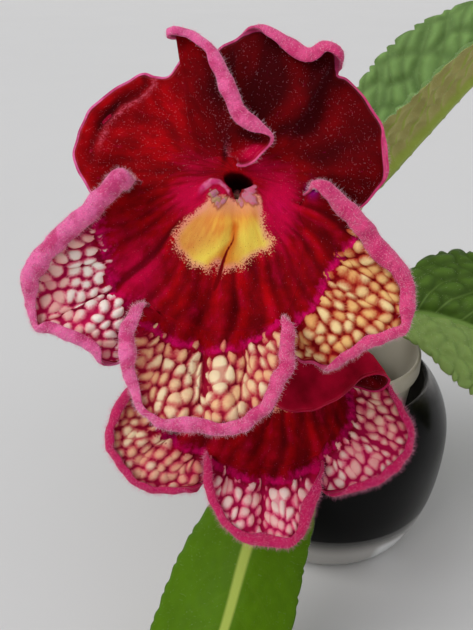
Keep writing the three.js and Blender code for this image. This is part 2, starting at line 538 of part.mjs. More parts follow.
bloom('corolla_1', BLOOM_1, { lobes: LOBES_1, folds: FOLDS_1, palate: [-2, -9, 2.6, 8, 6], spacing: 5.2 });
bloom('corolla_2', BLOOM_2, {
  lobes: LOBES_2, folds: FOLDS_2, palate: [-1, -9, 1.4, 8, 6], spacing: 6.6,
  hoods: { upper_right: [1, 5, 3] },
});

// Stalks with their calyces, and pistils
function tube(path, radiusAt, steps, sides) {
  const curve = new THREE.CatmullRomCurve3(path, false, 'centripetal');
  const frames = curve.computeFrenetFrames(steps, false);
  const points = [];
  const index = [];
  for (let k = 0; k <= steps; k++) {
    const at = curve.getPointAt(k / steps);
    for (let j = 0; j < sides; j++) {
      const a = (j / sides) * 2 * Math.PI;
      const r = radiusAt(k / steps);
      const side = frames.normals[k].clone().multiplyScalar(Math.cos(a) * r);
      points.push(at.clone().add(side).addScaledVector(frames.binormals[k], Math.sin(a) * r));
      if (k === 0) continue;
      const [p, q] = [(k - 1) * sides + j, (k - 1) * sides + ((j + 1) % sides)];
      index.push(p, q, q + sides, p, q + sides, p + sides);
    }
  }
  points.push(curve.getPoint(0), curve.getPoint(1));
  const [head, tail] = [points.length - 2, points.length - 1];
  for (let j = 0; j < sides; j++) {
    const n = (j + 1) % sides;
    index.push(head, n, j, tail, steps * sides + j, steps * sides + n);
  }
  return new THREE.BufferGeometry().setFromPoints(points).setIndex(index);
}

// Cup of five narrow sepals round the base of the tube, in the bloom's own frame
function calyx() {
  const depth = TUBE[0][0];
  const flare = [[3.4, 1.2], [1.6, 1.9], [-0.8, 3.4], [-3, 4.3], [-6, 5.3]];
  const rows = flare.map(([d, r]) => [depth + d, r]);
  const sides = 20;
  const points = [mm(0, 0, -depth - 3.8)];
  const faces = [];
  rows.forEach(([d, r], k) => {
    for (let j = 0; j < sides; j++) {
      const a = ((j + 0.5 * (k % 2)) / sides) * 2 * Math.PI;
      points.push(mm(r * Math.cos(a), r * Math.sin(a), -d));
    }
  });
  const at = (k, j) => 1 + k * sides + (j % sides);
  for (let j = 0; j < sides; j++) faces.push([0, at(0, j), at(0, j + 1)]);
  for (let k = 0; k + 1 < rows.length; k++) {
    for (let j = 0; j < sides; j++) {
      if (k >= 3 && j % 4 === 3) continue; // slits between the sepals
      const [a, b, c, d] = [at(k, j), at(k, j + 1), at(k + 1, j), at(k + 1, j + 1)];
      if (k % 2) faces.push([a, d, b], [a, c, d]);
      else faces.push([a, c, b], [b, c, d]);
    }
  }
  // tips of the sepals
  for (let s = 0; s < 5; s++) {
    const first = s * 4;
    const a = ((first + 1.5) / sides) * 2 * Math.PI;
    points.push(mm(7 * Math.cos(a), 7 * Math.sin(a), -depth + 11));
    for (let j = 0; j < 3; j++) faces.push([at(4, first + j), points.length - 1, at(4, first + j + 1)]);
  }
  return thicken(points, faces.map(([a, b, c]) => [a, c, b]), 0.8);
}

function stalk(name, place, bend) {
  const [x, y] = STEMS[name];
  const neck = mm(0, 0, -TUBE[0][0] - 2.6).applyMatrix4(place);
  const behind = mm(0, 0, -TUBE[0][0] - 11).applyMatrix4(place);
  const foot = [mm(x, y, SOIL_TOP - STEM_DEPTH + GAP), mm(x, y, SOIL_TOP + 4)];
  const path = [...foot, ...bend.map((p) => mm(...p)), behind, neck];
  const stem = solid(tube(path, (t) => mix(1.9, 1.15, t), 16, 7));
  const cup = solid(calyx().applyMatrix4(place));
  add(name, geometryOf(stem.add(cup)), 0x6b5a2e, 0.6);
}

stalk('flower_stalk_1', BLOOM_1, [[-4, -2, 92], [-12, -10, 116], [-22, -22, 134]]);
stalk('flower_stalk_2', BLOOM_2, [[0, -9, 80], [-6, -17, 88]]);

function pistil(name, place) {
  const floor = -TUBE[0][0] + 0.8;
  const path = [mm(0, 0, floor + 1), mm(0, 0.4, -18), mm(0.2, 1.1, -8), mm(0.3, 0.9, -0.6)];
  const thick = [[0, 0.7], [0.2, 1.1], [0.5, 0.8], [0.86, 0.65], [0.93, 1.15], [1, 0.8]];
  add(name, tube(path, (t) => along(thick, t), 16, 6).applyMatrix4(place), 0xe6b7b0, 0.5);
}

pistil('pistil_1', BLOOM_1);
pistil('pistil_2', BLOOM_2);

export default root;
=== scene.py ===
"""Dresses a potted cape primrose: two ruffled blooms, strap leaves, soil, growing pot, jar and stage.

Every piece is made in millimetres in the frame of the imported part: the jar's foot on z = 0, its axis on
the Z axis, +Y away from the front. A bloom has its own frame: x to the right, y up its face, z out of it.
"""
import math

import bmesh
import bpy
import numpy as np
from bpy.props import FloatProperty, FloatVectorProperty, IntProperty, PointerProperty
from bpy.types import Operator, Panel, PropertyGroup
from mathutils import Matrix, Vector


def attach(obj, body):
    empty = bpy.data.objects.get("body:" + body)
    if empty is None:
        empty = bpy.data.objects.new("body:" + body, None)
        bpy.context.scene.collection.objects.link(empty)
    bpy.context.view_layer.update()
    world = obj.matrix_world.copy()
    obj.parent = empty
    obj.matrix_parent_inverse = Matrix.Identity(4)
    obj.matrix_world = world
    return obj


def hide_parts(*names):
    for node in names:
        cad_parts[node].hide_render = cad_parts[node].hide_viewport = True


bl_info = {
    "name": "Potted Cape Primrose",
    "version": (1, 0, 0),
    "blender": (4, 5, 0),
    "location": "3D View > Sidebar > Primrose",
    "description": "Blooms, leaves, soil, growing pot, jar and stage of a potted cape primrose",
    "category": "Add Mesh",
}

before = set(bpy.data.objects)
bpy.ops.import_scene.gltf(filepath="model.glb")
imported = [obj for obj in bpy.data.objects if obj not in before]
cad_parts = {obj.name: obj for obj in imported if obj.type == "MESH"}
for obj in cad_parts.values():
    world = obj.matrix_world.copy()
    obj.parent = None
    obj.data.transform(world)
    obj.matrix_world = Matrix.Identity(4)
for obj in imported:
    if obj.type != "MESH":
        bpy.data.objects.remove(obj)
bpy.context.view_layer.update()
MM = 0.001
TURN = 2 * math.pi

# Jar, growing pot and soil
JAR_BELLY_Z = 44.0
JAR_FLOOR = 8.6
POT_WALL = 1.1
POT_BAND = 6.5
POT_FOOT = 21.0
POT_TOP = 65.5
POT_FLOOR = 2.4
SOIL_TOP = 69.0
SOIL_SINK = 22
STEM_DEPTH = 9.0
GAP = 0.3
POT_Z = JAR_FLOOR + GAP
STEM_HOLE = 2.7
STEMS = {
    "leaf_right": (9.5, -2), "leaf_upright": (6, 8.5), "leaf_front": (-4, -10), "leaf_left": (-10, 0),
    "leaf_back": (-3.5, 9.5), "flower_stalk_1": (-1.5, 2), "flower_stalk_2": (2.5, -5),
}

# Blooms: tilt, throats, and the tube's depth and radius from its base to its mouth
PITCH = 27.0
THROATS = {1: (-34.6, -74.5, 154.8), 2: (-22.4, -64.7, 112.4)}
TUBE = [(27.5, 0.9), (25, 2.6), (19, 3.7), (11, 4.2), (4.5, 4.1)]
TUBE_DEPTH = TUBE[0][0]
GAPE = 0.2
NOTCH = 3.2

# A lobe's edge from its first notch, anticlockwise up to the next lobe's. Rows: x, y, height, then the hem:
# degrees that it rolls forward, its radius and the flap after it. A short row ends as the flat row does
FLAT = (0, 1, 0)
LOBES_1 = {
    "right": [
        (9, -29, 0), (11, -33.5, -1.5), (13.5, -37.5, -1.5), (16.5, -38, 0, 20), (19, -39, 2, 90),
        (21, -38.5, 4, 165, 1.1, 0.6), (26, -35, 5, 175, 1.1, 0.9), (31, -33, 6, 175, 1.1, 0.9),
        (34.5, -31, 6, 175, 1.2, 1), (36, -27, 5.5, 175, 1.2, 1.9), (36.5, -22.5, 5, 175, 1.2, 2.2),
        (35, -18, 5, 175, 1.2, 2.6), (31, -13.5, 5.5, 175, 1.2, 2.9), (27, -8, 6, 175, 1.2, 2.7),
        (23, -4, 6.5, 175, 1.2, 2.4), (19, -0.5, 6.5, 170, 1.2, 1.6), (16.5, 0, 5.5, 140, 1.1, 0.6),
        (14.8, -2, 3, 60),
    ],
    "upper_right": [
        (13.5, -4.5, 0), (20, -7, -5), (25.5, -5.5, -5), (30, -1.5, -3, 10), (32, 1.5, -2, 60),
        (32, 6, -1, 130, 1, 0.2), (31.5, 12.5, -2, 40), (28, 19.5, -3.5, 10), (24, 24, -4),
        (22, 24.4, -3, 10), (22.2, 26.2, -1.5, 110, 1.5), (21.4, 28.4, 1, 190, 1.7, 0.6),
        (18.5, 29.2, 1, 175, 1.3, 1.2), (15.5, 28, 0.5, 175, 1.1, 1.9), (11.5, 30.5, 0, 175, 1.1, 1.8),
        (7, 33, -0.5, 175, 1.1, 1.5), (4, 33.5, -1, 120, 1, 0.3), (0, 32, -2.5, 10), (-4, 30, -4),
        (-7, 22, -6), (-6.5, 13, -5.5),
    ],
    "upper_left": [
        (-1, 6.5, -1.5), (1.2, 4, 1.5), (4, 4, 4), (6.5, 6, 5.5, 10), (8, 8.5, 6, 100, 1, 0.2),
        (5.5, 11.5, 6.5, 165, 1.1, 1.6), (2, 15, 6.5, 175, 1.1, 1.9), (-0.5, 20.5, 6, 175, 1.1, 1.8),
        (-4, 26.5, 5.5, 175, 1.1, 1.3), (-7.5, 29.5, 5, 175, 1.1, 0.8), (-10.5, 31, 4.5, 170, 1.3, 0.7),
        (-13, 31.3, 4.5, 160, 1.5, 0.4), (-12, 29.5, 2, 20), (-11.5, 27.5, 0, -20), (-14.5, 24, -2, -20),
        (-17.5, 24, -3, 15), (-20, 25, -4, 15), (-26.5, 22, -5, 15), (-32, 17.5, -5, 15),
        (-34.5, 12, -4.5, 15), (-35.5, 7, -4, 15), (-33, 1, -3.5), (-28.5, -4, -3), (-22.5, -3.5, -2),
    ],
    "left": [
        (-18, -1.5, -1), (-19.5, -0.4, 0, 0, 1.2), (-21, 0.6, 1.5, 0, 1.2), (-22.6, 2, 4.5, 190, 1.6),
        (-25, 2, 6.5, 270, 1.8), (-30.5, -4, 6.5, 270, 1.8), (-36, -9, 6, 270, 1.8),
        (-40.5, -14, 6, 270, 1.8), (-43.5, -19, 5.5, 260, 1.7), (-43.5, -23, 4.5, 230, 1.4),
        (-42.5, -27, 4, 200, 1.2), (-41, -31, 4, 160, 1.1, 0.3), (-38, -31.5, 4.5, 170, 1.1, 1.1),
        (-34, -33, 4.5, 175, 1.1, 1.2), (-30, -35, 4, 175, 1.1, 1.1), (-28.5, -37.5, 3, 120, 1, 0.3),
        (-25, -38, 1, 30), (-21.5, -35, -0.5), (-18.5, -31, -0.5),
    ],
    "lower": [
        (-17, -27, 0), (-18, -26, 2, 0, 1.2), (-19.7, -25.4, 5.5, 80, 1.2), (-21.8, -26.8, 8.3, 200, 1.3),
        (-23.5, -30.5, 9.5, 230, 1.3), (-23.5, -34.5, 10, 230, 1.3), (-23, -38.5, 10, 225, 1.3),
        (-21.5, -42.5, 10, 200, 1.2), (-19.5, -46, 10, 150, 1.1, 0.2), (-17, -48.7, 10.5, 165, 1.1, 0.6),
        (-13.5, -50.2, 11.5, 175, 1.1, 1), (-9, -50.8, 12, 175, 1.1, 1.1), (-5, -51.1, 12, 175, 1.1, 1.2),
        (-1.5, -51.1, 12, 175, 1.1, 1.2), (2.5, -50.3, 11.5, 175, 1.1, 1.2), (5, -48.5, 11, 170, 1.1, 1),
        (7.5, -46, 10.5, 175, 1.1, 1.1), (10, -41.5, 10, 175, 1.1, 1.5), (12, -37, 9, 175, 1.1, 1.6),
        (12, -33, 8.5, 175, 1.1, 1.4), (11.5, -29.5, 6.5, 150, 1.1, 0.6), (10, -28.2, 3.5, 60),
    ],
}
LOBES_2 = {
    "right": [
        (8, -29.5, 0), (7.4, -33.5, -1.2), (9.6, -38.5, 0, 30), (13.5, -38.5, 1.5, 140, 1.1, 0.2),
        (18.5, -37, 3, 200, 1.2, 0.3), (23, -35.5, 3.5, 200, 1.2, 0.3), (27.5, -31.5, 4, 200, 1.2, 0.2),
        (30.5, -27.5, 4, 200, 1.2), (31, -23, 4, 190, 1.2), (29.5, -18, 3.5, 180, 1.2),
        (26.5, -13, 2.5, 150, 1.2), (23, -9.5, 0, 60), (18, -7.5, -2),
    ],
    "upper_right": [
        (13, -8.5, -2), (18, -11.5, 2), (22.5, -12, 5), (24, -9.5, 7.5), (22, -7.5, 9.5), (18, -8, 11),
        (14.5, -10.5, 11.5, 20), (11, -13.5, 11.5, 30), (5, -16, 11, 30), (-0.5, -16, 9.5, 20),
        (-4.5, -13, 7), (-4.5, -6, 5.5), (-2.5, 2, 3.5),
    ],
    "upper_left": [
        (-2, 7, -1), (0.5, 9.5, 0.5, 20), (0, 13.5, 1, 60), (-4.5, 17.5, 1.5, 120, 1.1, 0.4),
        (-10, 19.5, 1.5, 170, 1.1, 1), (-15.5, 19, 1.5, 170, 1.1, 1), (-22, 16, 1, 120, 1.1, 0.3),
        (-27, 11.5, 0, 40), (-28, 5, -0.5, 10), (-24, 0, -1),
    ],
    "left": [
        (-16, -3, -1), (-23.5, -2.5, 2, 60), (-31, -5, 3.5, 180, 1.2), (-37, -10, 4, 200, 1.2),
        (-41.5, -16, 4, 210, 1.2), (-43.5, -21, 4, 210, 1.2), (-44, -25.5, 4, 210, 1.2),
        (-41.5, -30.5, 4, 200, 1.2), (-37, -35.5, 4, 190, 1.2), (-30.5, -38, 3.5, 190, 1.2),
        (-24.5, -37.5, 2.5, 160, 1.2), (-20.5, -36.5, 0.5, 40),
    ],
    "lower": [
        (-18.5, -30, 0), (-19.5, -28.5, 3, 60), (-20.5, -30.5, 5.5, 180, 1.1), (-20, -35, 6.5, 190, 1.1),
        (-18.5, -40, 7.5, 180, 1.1), (-14.5, -45, 8.5, 160, 1.1, 0.5), (-10, -48.5, 9, 175, 1.1, 1.4),
        (-3.5, -49.5, 9, 175, 1.1, 1.7), (1, -49, 9, 170, 1.1, 1), (4, -46.5, 8.5, 170, 1.1, 0.9),
        (6.5, -41.5, 8, 175, 1.1, 1.5), (8.2, -36.5, 7, 160, 1.1, 1), (8.9, -33, 5.5, 90), (9, -30.5, 3, 30),
    ],
}
# Folds over the lower lobe: x where they cross y = -20 and y = -48, height and half width
FOLDS_1 = [(-7, -7.5, -2.2, 2.6), (-10.5, -12, 1.2, 2.6), (-3, -2.5, 1.4, 2.4), (1.5, 2.5, -1.2, 2.2)]
FOLDS_2 = [(-5, -6, -2.4, 2.8), (-9, -11, 1.2, 2.8), (-1, -1, 1.2, 2.6)]
# Where the pebbles begin on a lobe: x and y along the line, the pebbled side on its right
PEBBLES_1 = {
    "left": [
        (-29.6, 2), (-30, -8.5), (-28.7, -14), (-27.4, -16.6), (-27.9, -18.6), (-26.9, -22.8),
        (-26.2, -24.5), (-22.5, -26.5), (-19, -29),
    ],
    "right": [
        (12, -31), (14.4, -28.6), (17.1, -26.5), (18.5, -23.4), (20.6, -18.2), (23.7, -14.1), (27, -10),
    ],
    "lower": [
        (-24, -26), (-20.3, -29.6), (-17.3, -31.6), (-13.3, -34.2), (-9.5, -34.6), (-6, -36.6),
        (-2.5, -35.4), (0.8, -35.4), (5.8, -32.8), (8.9, -30.2), (12, -28),
    ],
}
PEBBLES_2 = {
    "left": [
        (-30, 2), (-33, -14), (-33.5, -20), (-31, -25), (-26.5, -28), (-20, -29.5),
    ],
    "right": [
        (9, -38), (9.5, -33), (10.5, -29.5), (15.5, -25.5), (17, -22.5), (18, -19), (17, -12), (20, -6),
    ],
    "lower": [
        (-21, -29), (-17, -33), (-12, -35), (-5, -37), (2, -35.5), (7, -33), (10, -31),
    ],
}
# Outline of the yellow patch under the throat
PATCH = [
    (-0.4, -3.2), (-3.2, -2.2), (-5.4, -2.4), (-7.2, -4.8), (-9.6, -6.6), (-11.1, -8.1), (-12.8, -10.2),
    (-13.2, -11.9), (-12.4, -14), (-10.9, -15.4), (-9.6, -16.9), (-7.5, -17.5), (-5.7, -18.4), (-3.9, -16.5),
    (-3.4, -18.8), (-2.3, -18.2), (-0.2, -17.5), (1.5, -17.7), (2.1, -16.1), (5, -14.4), (6.7, -14),
    (8.2, -11.9), (6.5, -10.8), (5.7, -8.1), (5.6, -6), (5, -2.6), (3.6, -1.4), (1.6, -2.4),
]
# The pink arch over the left of the mouth's sill, and the left rim of the small flap over the mouth
ARCH = [(-8.6, -2.6), (-7.4, -0.9), (-5.2, 0.7), (-3.6, 0.7), (-2.2, -0.6), (-1.2, -2.2)]
FLAP = [(-1.7, 11), (-2.0, 8.2), (-1.1, 5.9), (0.8, 4.2)]
# Small uneven bits at the sill of the mouth: x, y, height and half width
KNOBS = [
    (3.2, -0.7, 1.7, 0.9), (2.4, -2.4, 1.3, 0.9), (3.6, -3.6, 0.8, 0.9), (0.6, -3.3, 1.0, 0.7),
    (1.2, -4.2, 0.6, 0.6), (-4.8, -1.9, 1.3, 0.8), (-4.2, -3.4, 1.0, 0.7), (-2.6, -3.4, 1.1, 0.6),
    (-3.6, -4.8, 0.5, 0.9),
]
# The dark slit down the patch, and the low line of the palate that it follows
SLIT = [(-0.2, -9), (-0.6, -12), (-1.9, -14), (-2.8, -16.4), (-3.6, -19.5), (-4.4, -22)]
PALATE_LINE = [(-0.2, -9), (-1.8, -12), (-3.2, -18), (-4.4, -24)]
# The mouth's radius by angle: a low arch at the left and knobs at the right leave a narrow opening
MOUTH = [
    (0, 4.0), (20, 4.1), (50, 3.3), (90, 3.2), (115, 3.6), (140, 3.7), (160, 3.0), (185, 2.0), (215, 1.5),
    (245, 2.0), (265, 3.2), (280, 3.3), (300, 2.2), (325, 1.8), (345, 2.8), (360, 4.0),
]
# Painted crimson light round the throat: centre, half widths and amount
GLOWS = [
    (9.5, -3.5, 3.8, 7, 1), (-9.5, -2, 4, 3.4, 1), (-4.4, -0.9, 2.2, 1.6, 1), (5, 4, 3.5, 2.6, 0.8),
    (-20.5, -19, 5, 6, 0.75), (-7.5, 5.5, 5.5, 4, 0.55),
]
# painted light on the small flap over the mouth: centre and half widths
UPPER_GLOW = (4.4, 6, 2.6, 1.8)
# Magenta beside the throat: centre and half widths
FLUSHES = [(9.2, -4.5, 3.2, 2.6), (-4.5, -1.7, 2, 1.4)]
CREASE = [(-18, 27), (-17.5, 21.5), (-20.5, 19), (-24.7, 17.2), (-28, 13.4), (-29.5, 9), (-29, 4)]
# Each bloom's swells join the pebbles within an ellipse (centre, half widths), its splits part them along a
# line, its painted shades are soft clouds of painted shade on the upper lobes, painted light where the amount
# is below 0 (centre, half widths, lean in degrees, amount), and its painted shade darkens each lobe
BLOOMS = {
    1: {
        "lobes": LOBES_1, "folds": FOLDS_1, "pebbles": PEBBLES_1, "palate": (-2, -9, 2.6, 8, 6), "hoods": {},
        "detail": 1.0, "crease": CREASE, "white": "left", "tilt": 0.0, "splits": [[(-6, -33), (-5.8, -44)]],
        "swells": [
            (-9.2, -39.5, 1.8, 4.8), (-2.4, -39.5, 1.8, 4.6), (-4.6, -47, 2.2, 1.8), (-29.5, -12.5, 3.4, 1.7),
            (-28, -19.5, 2.6, 2.4), (-25.5, -25.5, 2.3, 2.3), (-30.5, -5, 3.2, 2.2), (23.5, -17.5, 2.3, 2),
            (18.5, -25, 2.2, 2.4), (27, -21, 2, 1.6), (1.8, -43, 1.6, 2.4),
        ],
        # painted shade of each lobe, deepest on the lobes that face away from the light
        "painted_shade": {"right": 0.4, "upper_right": 0.85, "upper_left": 0.05, "left": 0.3, "lower": 0.3},
        "warm": {"left": 0.1, "lower": 0.72, "right": 1.0},
        "painted_shades": [
            (-5, 18, 3.2, 8, -12, 0.5), (-9, 11, 1.8, 5, -22, 0.35), (-13, 12, 1.6, 5, -30, 0.2),
            (-2.2, 7, 0.6, 2.4, 10, 0.7), (2, 6.6, 2.8, 2, 0, -0.7), (3.5, 9, 3.5, 0.9, 25, 0.6),
            (-20, 10, 5, 6, 20, -0.2), (27, 8, 4, 9, 0, -0.2), (12, 2, 4, 3, 0, -0.35), (6, 20, 7, 8, 0, 0.2),
        ],
    },
    2: {
        "lobes": LOBES_2, "folds": FOLDS_2, "pebbles": PEBBLES_2, "palate": (-1, -9, 1.4, 8, 6),
        "hoods": {"upper_right": (1, 5, 3)}, "detail": 1.15, "crease": None, "white": None, "tilt": 0.5,
        "splits": [[(13.5, -21), (25.5, -27.5)], [(-5.5, -36), (-6, -46)]],
        "swells": [(-8, -40, 1.4, 2.6), (-1, -40, 1.6, 3), (25, -16, 2.2, 1.8), (22, -24, 2, 1.6),
                   (-33, -22, 2.4, 1.8)],
        # painted shade of each lobe, deepest on the lobes that face away from the light
        "painted_shade": {"right": 0.55, "upper_right": 0.75, "upper_left": 0.5, "left": 0.5, "lower": 0.45},
        "warm": {"left": 0.72, "lower": 0.24, "right": 0.3}, "painted_shades": [],
    },
}

# Leaves: midrib from the crown out, where the upper side looks at base, a third out and tip, half widths, and
# how the halves fold, curl and quilt
LEAVES = {
    "leaf_right": {
        "path": [(13, -2, 83), (26, -3.5, 88.5), (39, -4.5, 86.5), (56, -7, 80), (76, -10, 66),
                 (92, -13, 48)],
        "face": [(-1, 0.2, 0.1), (0, -0.1, 1), (0.5, -0.2, 0.8)], "half": (30, 23), "full": 0.8,
        "start": 0.14, "lift": [(36, 36), (-13, -13)], "curl": -12, "wave": 1.3, "quilt": 2.4, "teeth": 0.09,
        # pale: painted light on the half of the blade that faces the light
        "pale": 1.0, "cells": 0.62,
    },
    "leaf_upright": {
        "path": [(5, 12, 85), (3.5, 16, 102), (5, 18, 118), (17, 20, 132.5), (30, 22, 147.5), (43, 24, 162),
                 (60, 27, 174), (79, 29, 178)],
        "face": [(-0.6, -0.8, 0), (-0.8, -0.1, 0.6), (-0.3, 0, 1)], "half": (27, 24), "full": 1.05,
        "start": 0.09, "lift": [(48, 42), (84, 14)], "curl": 4, "wave": 1.2, "quilt": 2.4, "teeth": 0.07,
        "cells": 0.85,
    },
    "leaf_front": {
        "path": [(-7.5, -24, 84), (-15.5, -42, 80), (-22.8, -58, 67), (-31.3, -72.5, 50.7), (-38, -87, 33.8),
                 (-47, -104, 18), (-55.5, -122, 9)],
        "face": [(0.3, 1, 0.1), (0, 0.1, 1), (0, -0.6, 1)], "half": (18.4, 23), "full": 1.5, "start": 0.16,
        "lift": [(-10, -10), (-10, -10)], "curl": -14, "wave": 1.4, "quilt": 0.3, "teeth": 0.035, "rib": 1.6,
    },
    "leaf_left": {
        "path": [(-20, 3, 84), (-36, 12, 96), (-52, 21, 103), (-66, 29, 103), (-78, 35, 97)],
        "face": [(1, 0, 0.1), (0.1, 0, 1), (-0.5, -0.3, 1)], "half": (20, 20), "full": 0.8, "start": 0.09,
        "lift": [(12, 12), (12, 12)], "curl": -14, "wave": 1.4, "quilt": 0.7, "teeth": 0.04,
    },
    "leaf_back": {
        "path": [(-6, 22, 84), (-9, 40, 96), (-12, 60, 102), (-15, 80, 99), (-18, 97, 87)],
        "face": [(0.3, -1, 0.1), (0, -0.1, 1), (0, 0.6, 1)], "half": (21, 21), "full": 0.8, "start": 0.09,
        "lift": [(12, 12), (12, 12)], "curl": -14, "wave": 1.4, "quilt": 0.7, "teeth": 0.04,
    },
}


# Curves and fields
def ease(a, b, x):
    """0 at a and 1 at b, which may be the smaller"""
    t = np.clip((x - a) / (b - a), 0, 1)
    return t * t * (3 - 2 * t)


def mix(a, b, t):
    return a + (b - a) * t


def unit(v):
    return v / np.maximum(np.linalg.norm(v, axis=-1, keepdims=True), 1e-9)


class Path:
    """A smooth curve through points (centripetal Catmull-Rom), read by share of its length or by knot"""

    def __init__(self, points, closed=False, fine=48):
        p = np.asarray(points, float)
        ends = [p[-1], *p, p[0], p[1]] if closed else [2 * p[0] - p[1], *p, 2 * p[-1] - p[-2]]
        u = (np.arange(fine) / fine)[:, None]
        runs = []
        for a, b, c, d in zip(ends, ends[1:], ends[2:], ends[3:]):
            e, f, g = (max(np.linalg.norm(q - r), 1e-6) ** 0.5 for q, r in ((b, a), (c, b), (d, c)))
            s = ((b - a) / e - (c - a) / (e + f) + (c - b) / f) * f
            t = ((c - b) / f - (d - b) / (f + g) + (d - c) / g) * f
            runs.append(b + s * u + (3 * (c - b) - 2 * s - t) * u**2 + (2 * (b - c) + s + t) * u**3)
        self.points = np.vstack([*runs, p[0] if closed else p[-1]])
        self.knots = np.arange(len(self.points)) / fine
        steps = np.linalg.norm(np.diff(self.points, axis=0), axis=1)
        self.reach = np.concatenate([[0], np.cumsum(steps)])
        self.length = self.reach[-1]

    def at(self, share):
        d = np.asarray(share) * self.length
        return np.stack([np.interp(d, self.reach, self.points[:, k]) for k in range(3)], -1)

    def way(self, share):
        return unit(self.at(np.minimum(share + 0.004, 1)) - self.at(np.maximum(share - 0.004, 0)))

    def knot(self, share):
        return np.interp(np.asarray(share) * self.length, self.reach, self.knots)

    def at_knot(self, v):
        v = np.mod(v, self.knots[-1])
        return np.stack([np.interp(v, self.knots, self.points[:, k]) for k in range(3)], -1)


def line_distance(line, x, y):
    """Distance to a line of points, more than 0 on its left"""
    p = np.stack([x, y], -1)[..., None, :]
    a = np.asarray(line, float)
    d = a[1:] - a[:-1]
    t = np.clip(((p - a[:-1]) * d).sum(-1) / (d * d).sum(-1), 0, 1)
    away = p - (a[:-1] + t[..., None] * d)
    far = np.linalg.norm(away, axis=-1)
    k = far.argmin(-1)[..., None]
    side = d[:, 0] * away[..., 1] - d[:, 1] * away[..., 0]
    return np.take_along_axis(far, k, -1)[..., 0] * np.sign(np.take_along_axis(side, k, -1)[..., 0])


def hill(x, y, cx, cy, wide, tall):
    """A soft hill, 1 at its centre"""
    return np.exp(-(((x - cx) / wide) ** 2) - ((y - cy) / tall) ** 2)


def ridge(line, x, y, wide):
    """A soft ridge, 1 all along a line"""
    return np.exp(-((line_distance(line, x, y) / wide) ** 2))


def inside(outline, x, y):
    """Distance to an outline, more than 0 inside it"""
    ring = np.asarray([*outline, outline[0]], float)
    far = np.abs(line_distance(ring, x, y))
    odd = np.zeros(np.shape(x), bool)
    for (ax, ay), (bx, by) in zip(ring, ring[1:]):
        if ay != by:
            odd ^= ((ay > y) != (by > y)) & (x < (bx - ax) * (y - ay) / (by - ay) + ax)
    return np.where(odd, far, -far)


def soft_least(values, soft):
    """The least of each row with its corners softened"""
    return -np.log(np.exp(-np.minimum(values, 8) * soft).sum(1)) / soft


def cells(seeds, x, y, centre, stretch, soft=5.0, group=None):
    """For each place the nearest seed, the distance to the wall of its cell or its group of cells, the
    distance to the crease between cells of one group, and that to the seed; cells are longer along the rays
    from centre"""
    x, y = x.ravel(), y.ravel()
    group = np.arange(len(seeds)) if group is None else group
    ray = unit(np.stack([x - centre[0], y - centre[1]], -1))
    delta = seeds[None] - np.stack([x, y], -1)[:, None]
    along = (delta * ray[:, None]).sum(-1) / np.ravel(stretch)[:, None]
    across = delta[..., 0] * ray[:, None, 1] - delta[..., 1] * ray[:, None, 0]
    d2 = along**2 + across**2
    near = np.argpartition(d2, 8, axis=1)[:, :9]
    near = np.take_along_axis(near, np.argsort(np.take_along_axis(d2, near, 1), 1), 1)
    f = np.take_along_axis(d2, near, 1)
    own_a, own_c = (np.take_along_axis(q, near, 1) for q in (along, across))
    apart = np.hypot(own_a[:, 1:] - own_a[:, :1], own_c[:, 1:] - own_c[:, :1])
    wall = (f[:, 1:] - f[:, :1]) / (2 * np.maximum(apart, 1e-6))
    same = group[near[:, 1:]] == group[near[:, :1]]
    outer, inner = (soft_least(np.where(hide, 8, wall), soft) for hide in (same, ~same))
    return near[:, 0], outer, inner, np.sqrt(f[:, 0])


def pairs_of(rng, seeds, reach, share, swells):
    """Group numbers that join some seeds with a near one, and all seeds within a swell"""
    group = np.arange(len(seeds))
    for x, y, wide, high in swells:
        within = np.flatnonzero(((seeds[:, 0] - x) / wide) ** 2 + ((seeds[:, 1] - y) / high) ** 2 < 1)
        group[within] = within[0] if len(within) else 0
    for k in rng.permutation(len(seeds))[:int(share * len(seeds))]:
        far = np.hypot(*(seeds - seeds[k]).T)
        far[group == group[k]] = 99
        other = far.argmin()
        if far[other] < reach and group[other] == other and group[k] == k:
            group[k] = other
    return group


def lumps(rng, shape, cell):
    """Soft random bumps over a grid, one about every cell rows and columns"""
    grid = rng.normal(size=tuple(int(n / c) + 4 for n, c in zip(shape, cell)))
    for axis, (n, c) in enumerate(zip(shape, cell)):
        at = np.arange(n) / c
        k = at.astype(int)
        t = at - k
        weights = ((1 - t) ** 3, 3 * t**3 - 6 * t**2 + 4, -3 * t**3 + 3 * t**2 + 3 * t + 1, t**3)
        grid = np.moveaxis(grid, axis, 0)
        grid = sum(w.reshape(-1, 1) / 6 * grid[k + j] for j, w in enumerate(weights))
        grid = np.moveaxis(grid, 0, axis)
    return grid * 1.6


def scatter(rng, low, high, apart, keep, centre, stretch, tries=7000):
    """Seeds about one cell apart over the places that keep() takes"""
    spots = rng.uniform(low, high, (tries, 2))
    spots = spots[keep(spots[:, 0], spots[:, 1])]
    kept = np.empty((0, 2))
    for p in spots:
        ray = unit(p - centre)
        d = kept - p
        far = np.hypot((d @ ray) / stretch, d[:, 0] * ray[1] - d[:, 1] * ray[0])
        if not len(kept) or far.min() > apart:
            kept = np.vstack([kept, p])
    return kept


def waves(rng, size, count=5, low=1.0, high=4.0):
    """A soft uneven ripple along 0..1"""
    u = np.linspace(0, 1, size)
    return sum(np.sin(TURN * (f * u + rng.random())) for f in rng.uniform(low, high, count)) / count


def blur(values, reach):
    """Values along a line, evened over a reach of places"""
    if reach < 1:
        return values
    kernel = np.hanning(2 * reach + 3)[1:-1]
    kernel /= kernel.sum()
    flat = values.reshape(len(values), -1)
    wide = np.pad(flat, ((reach, reach), (0, 0)), mode="edge")
    return np.stack([np.convolve(w, kernel, "valid") for w in wide.T], 1).reshape(values.shape)


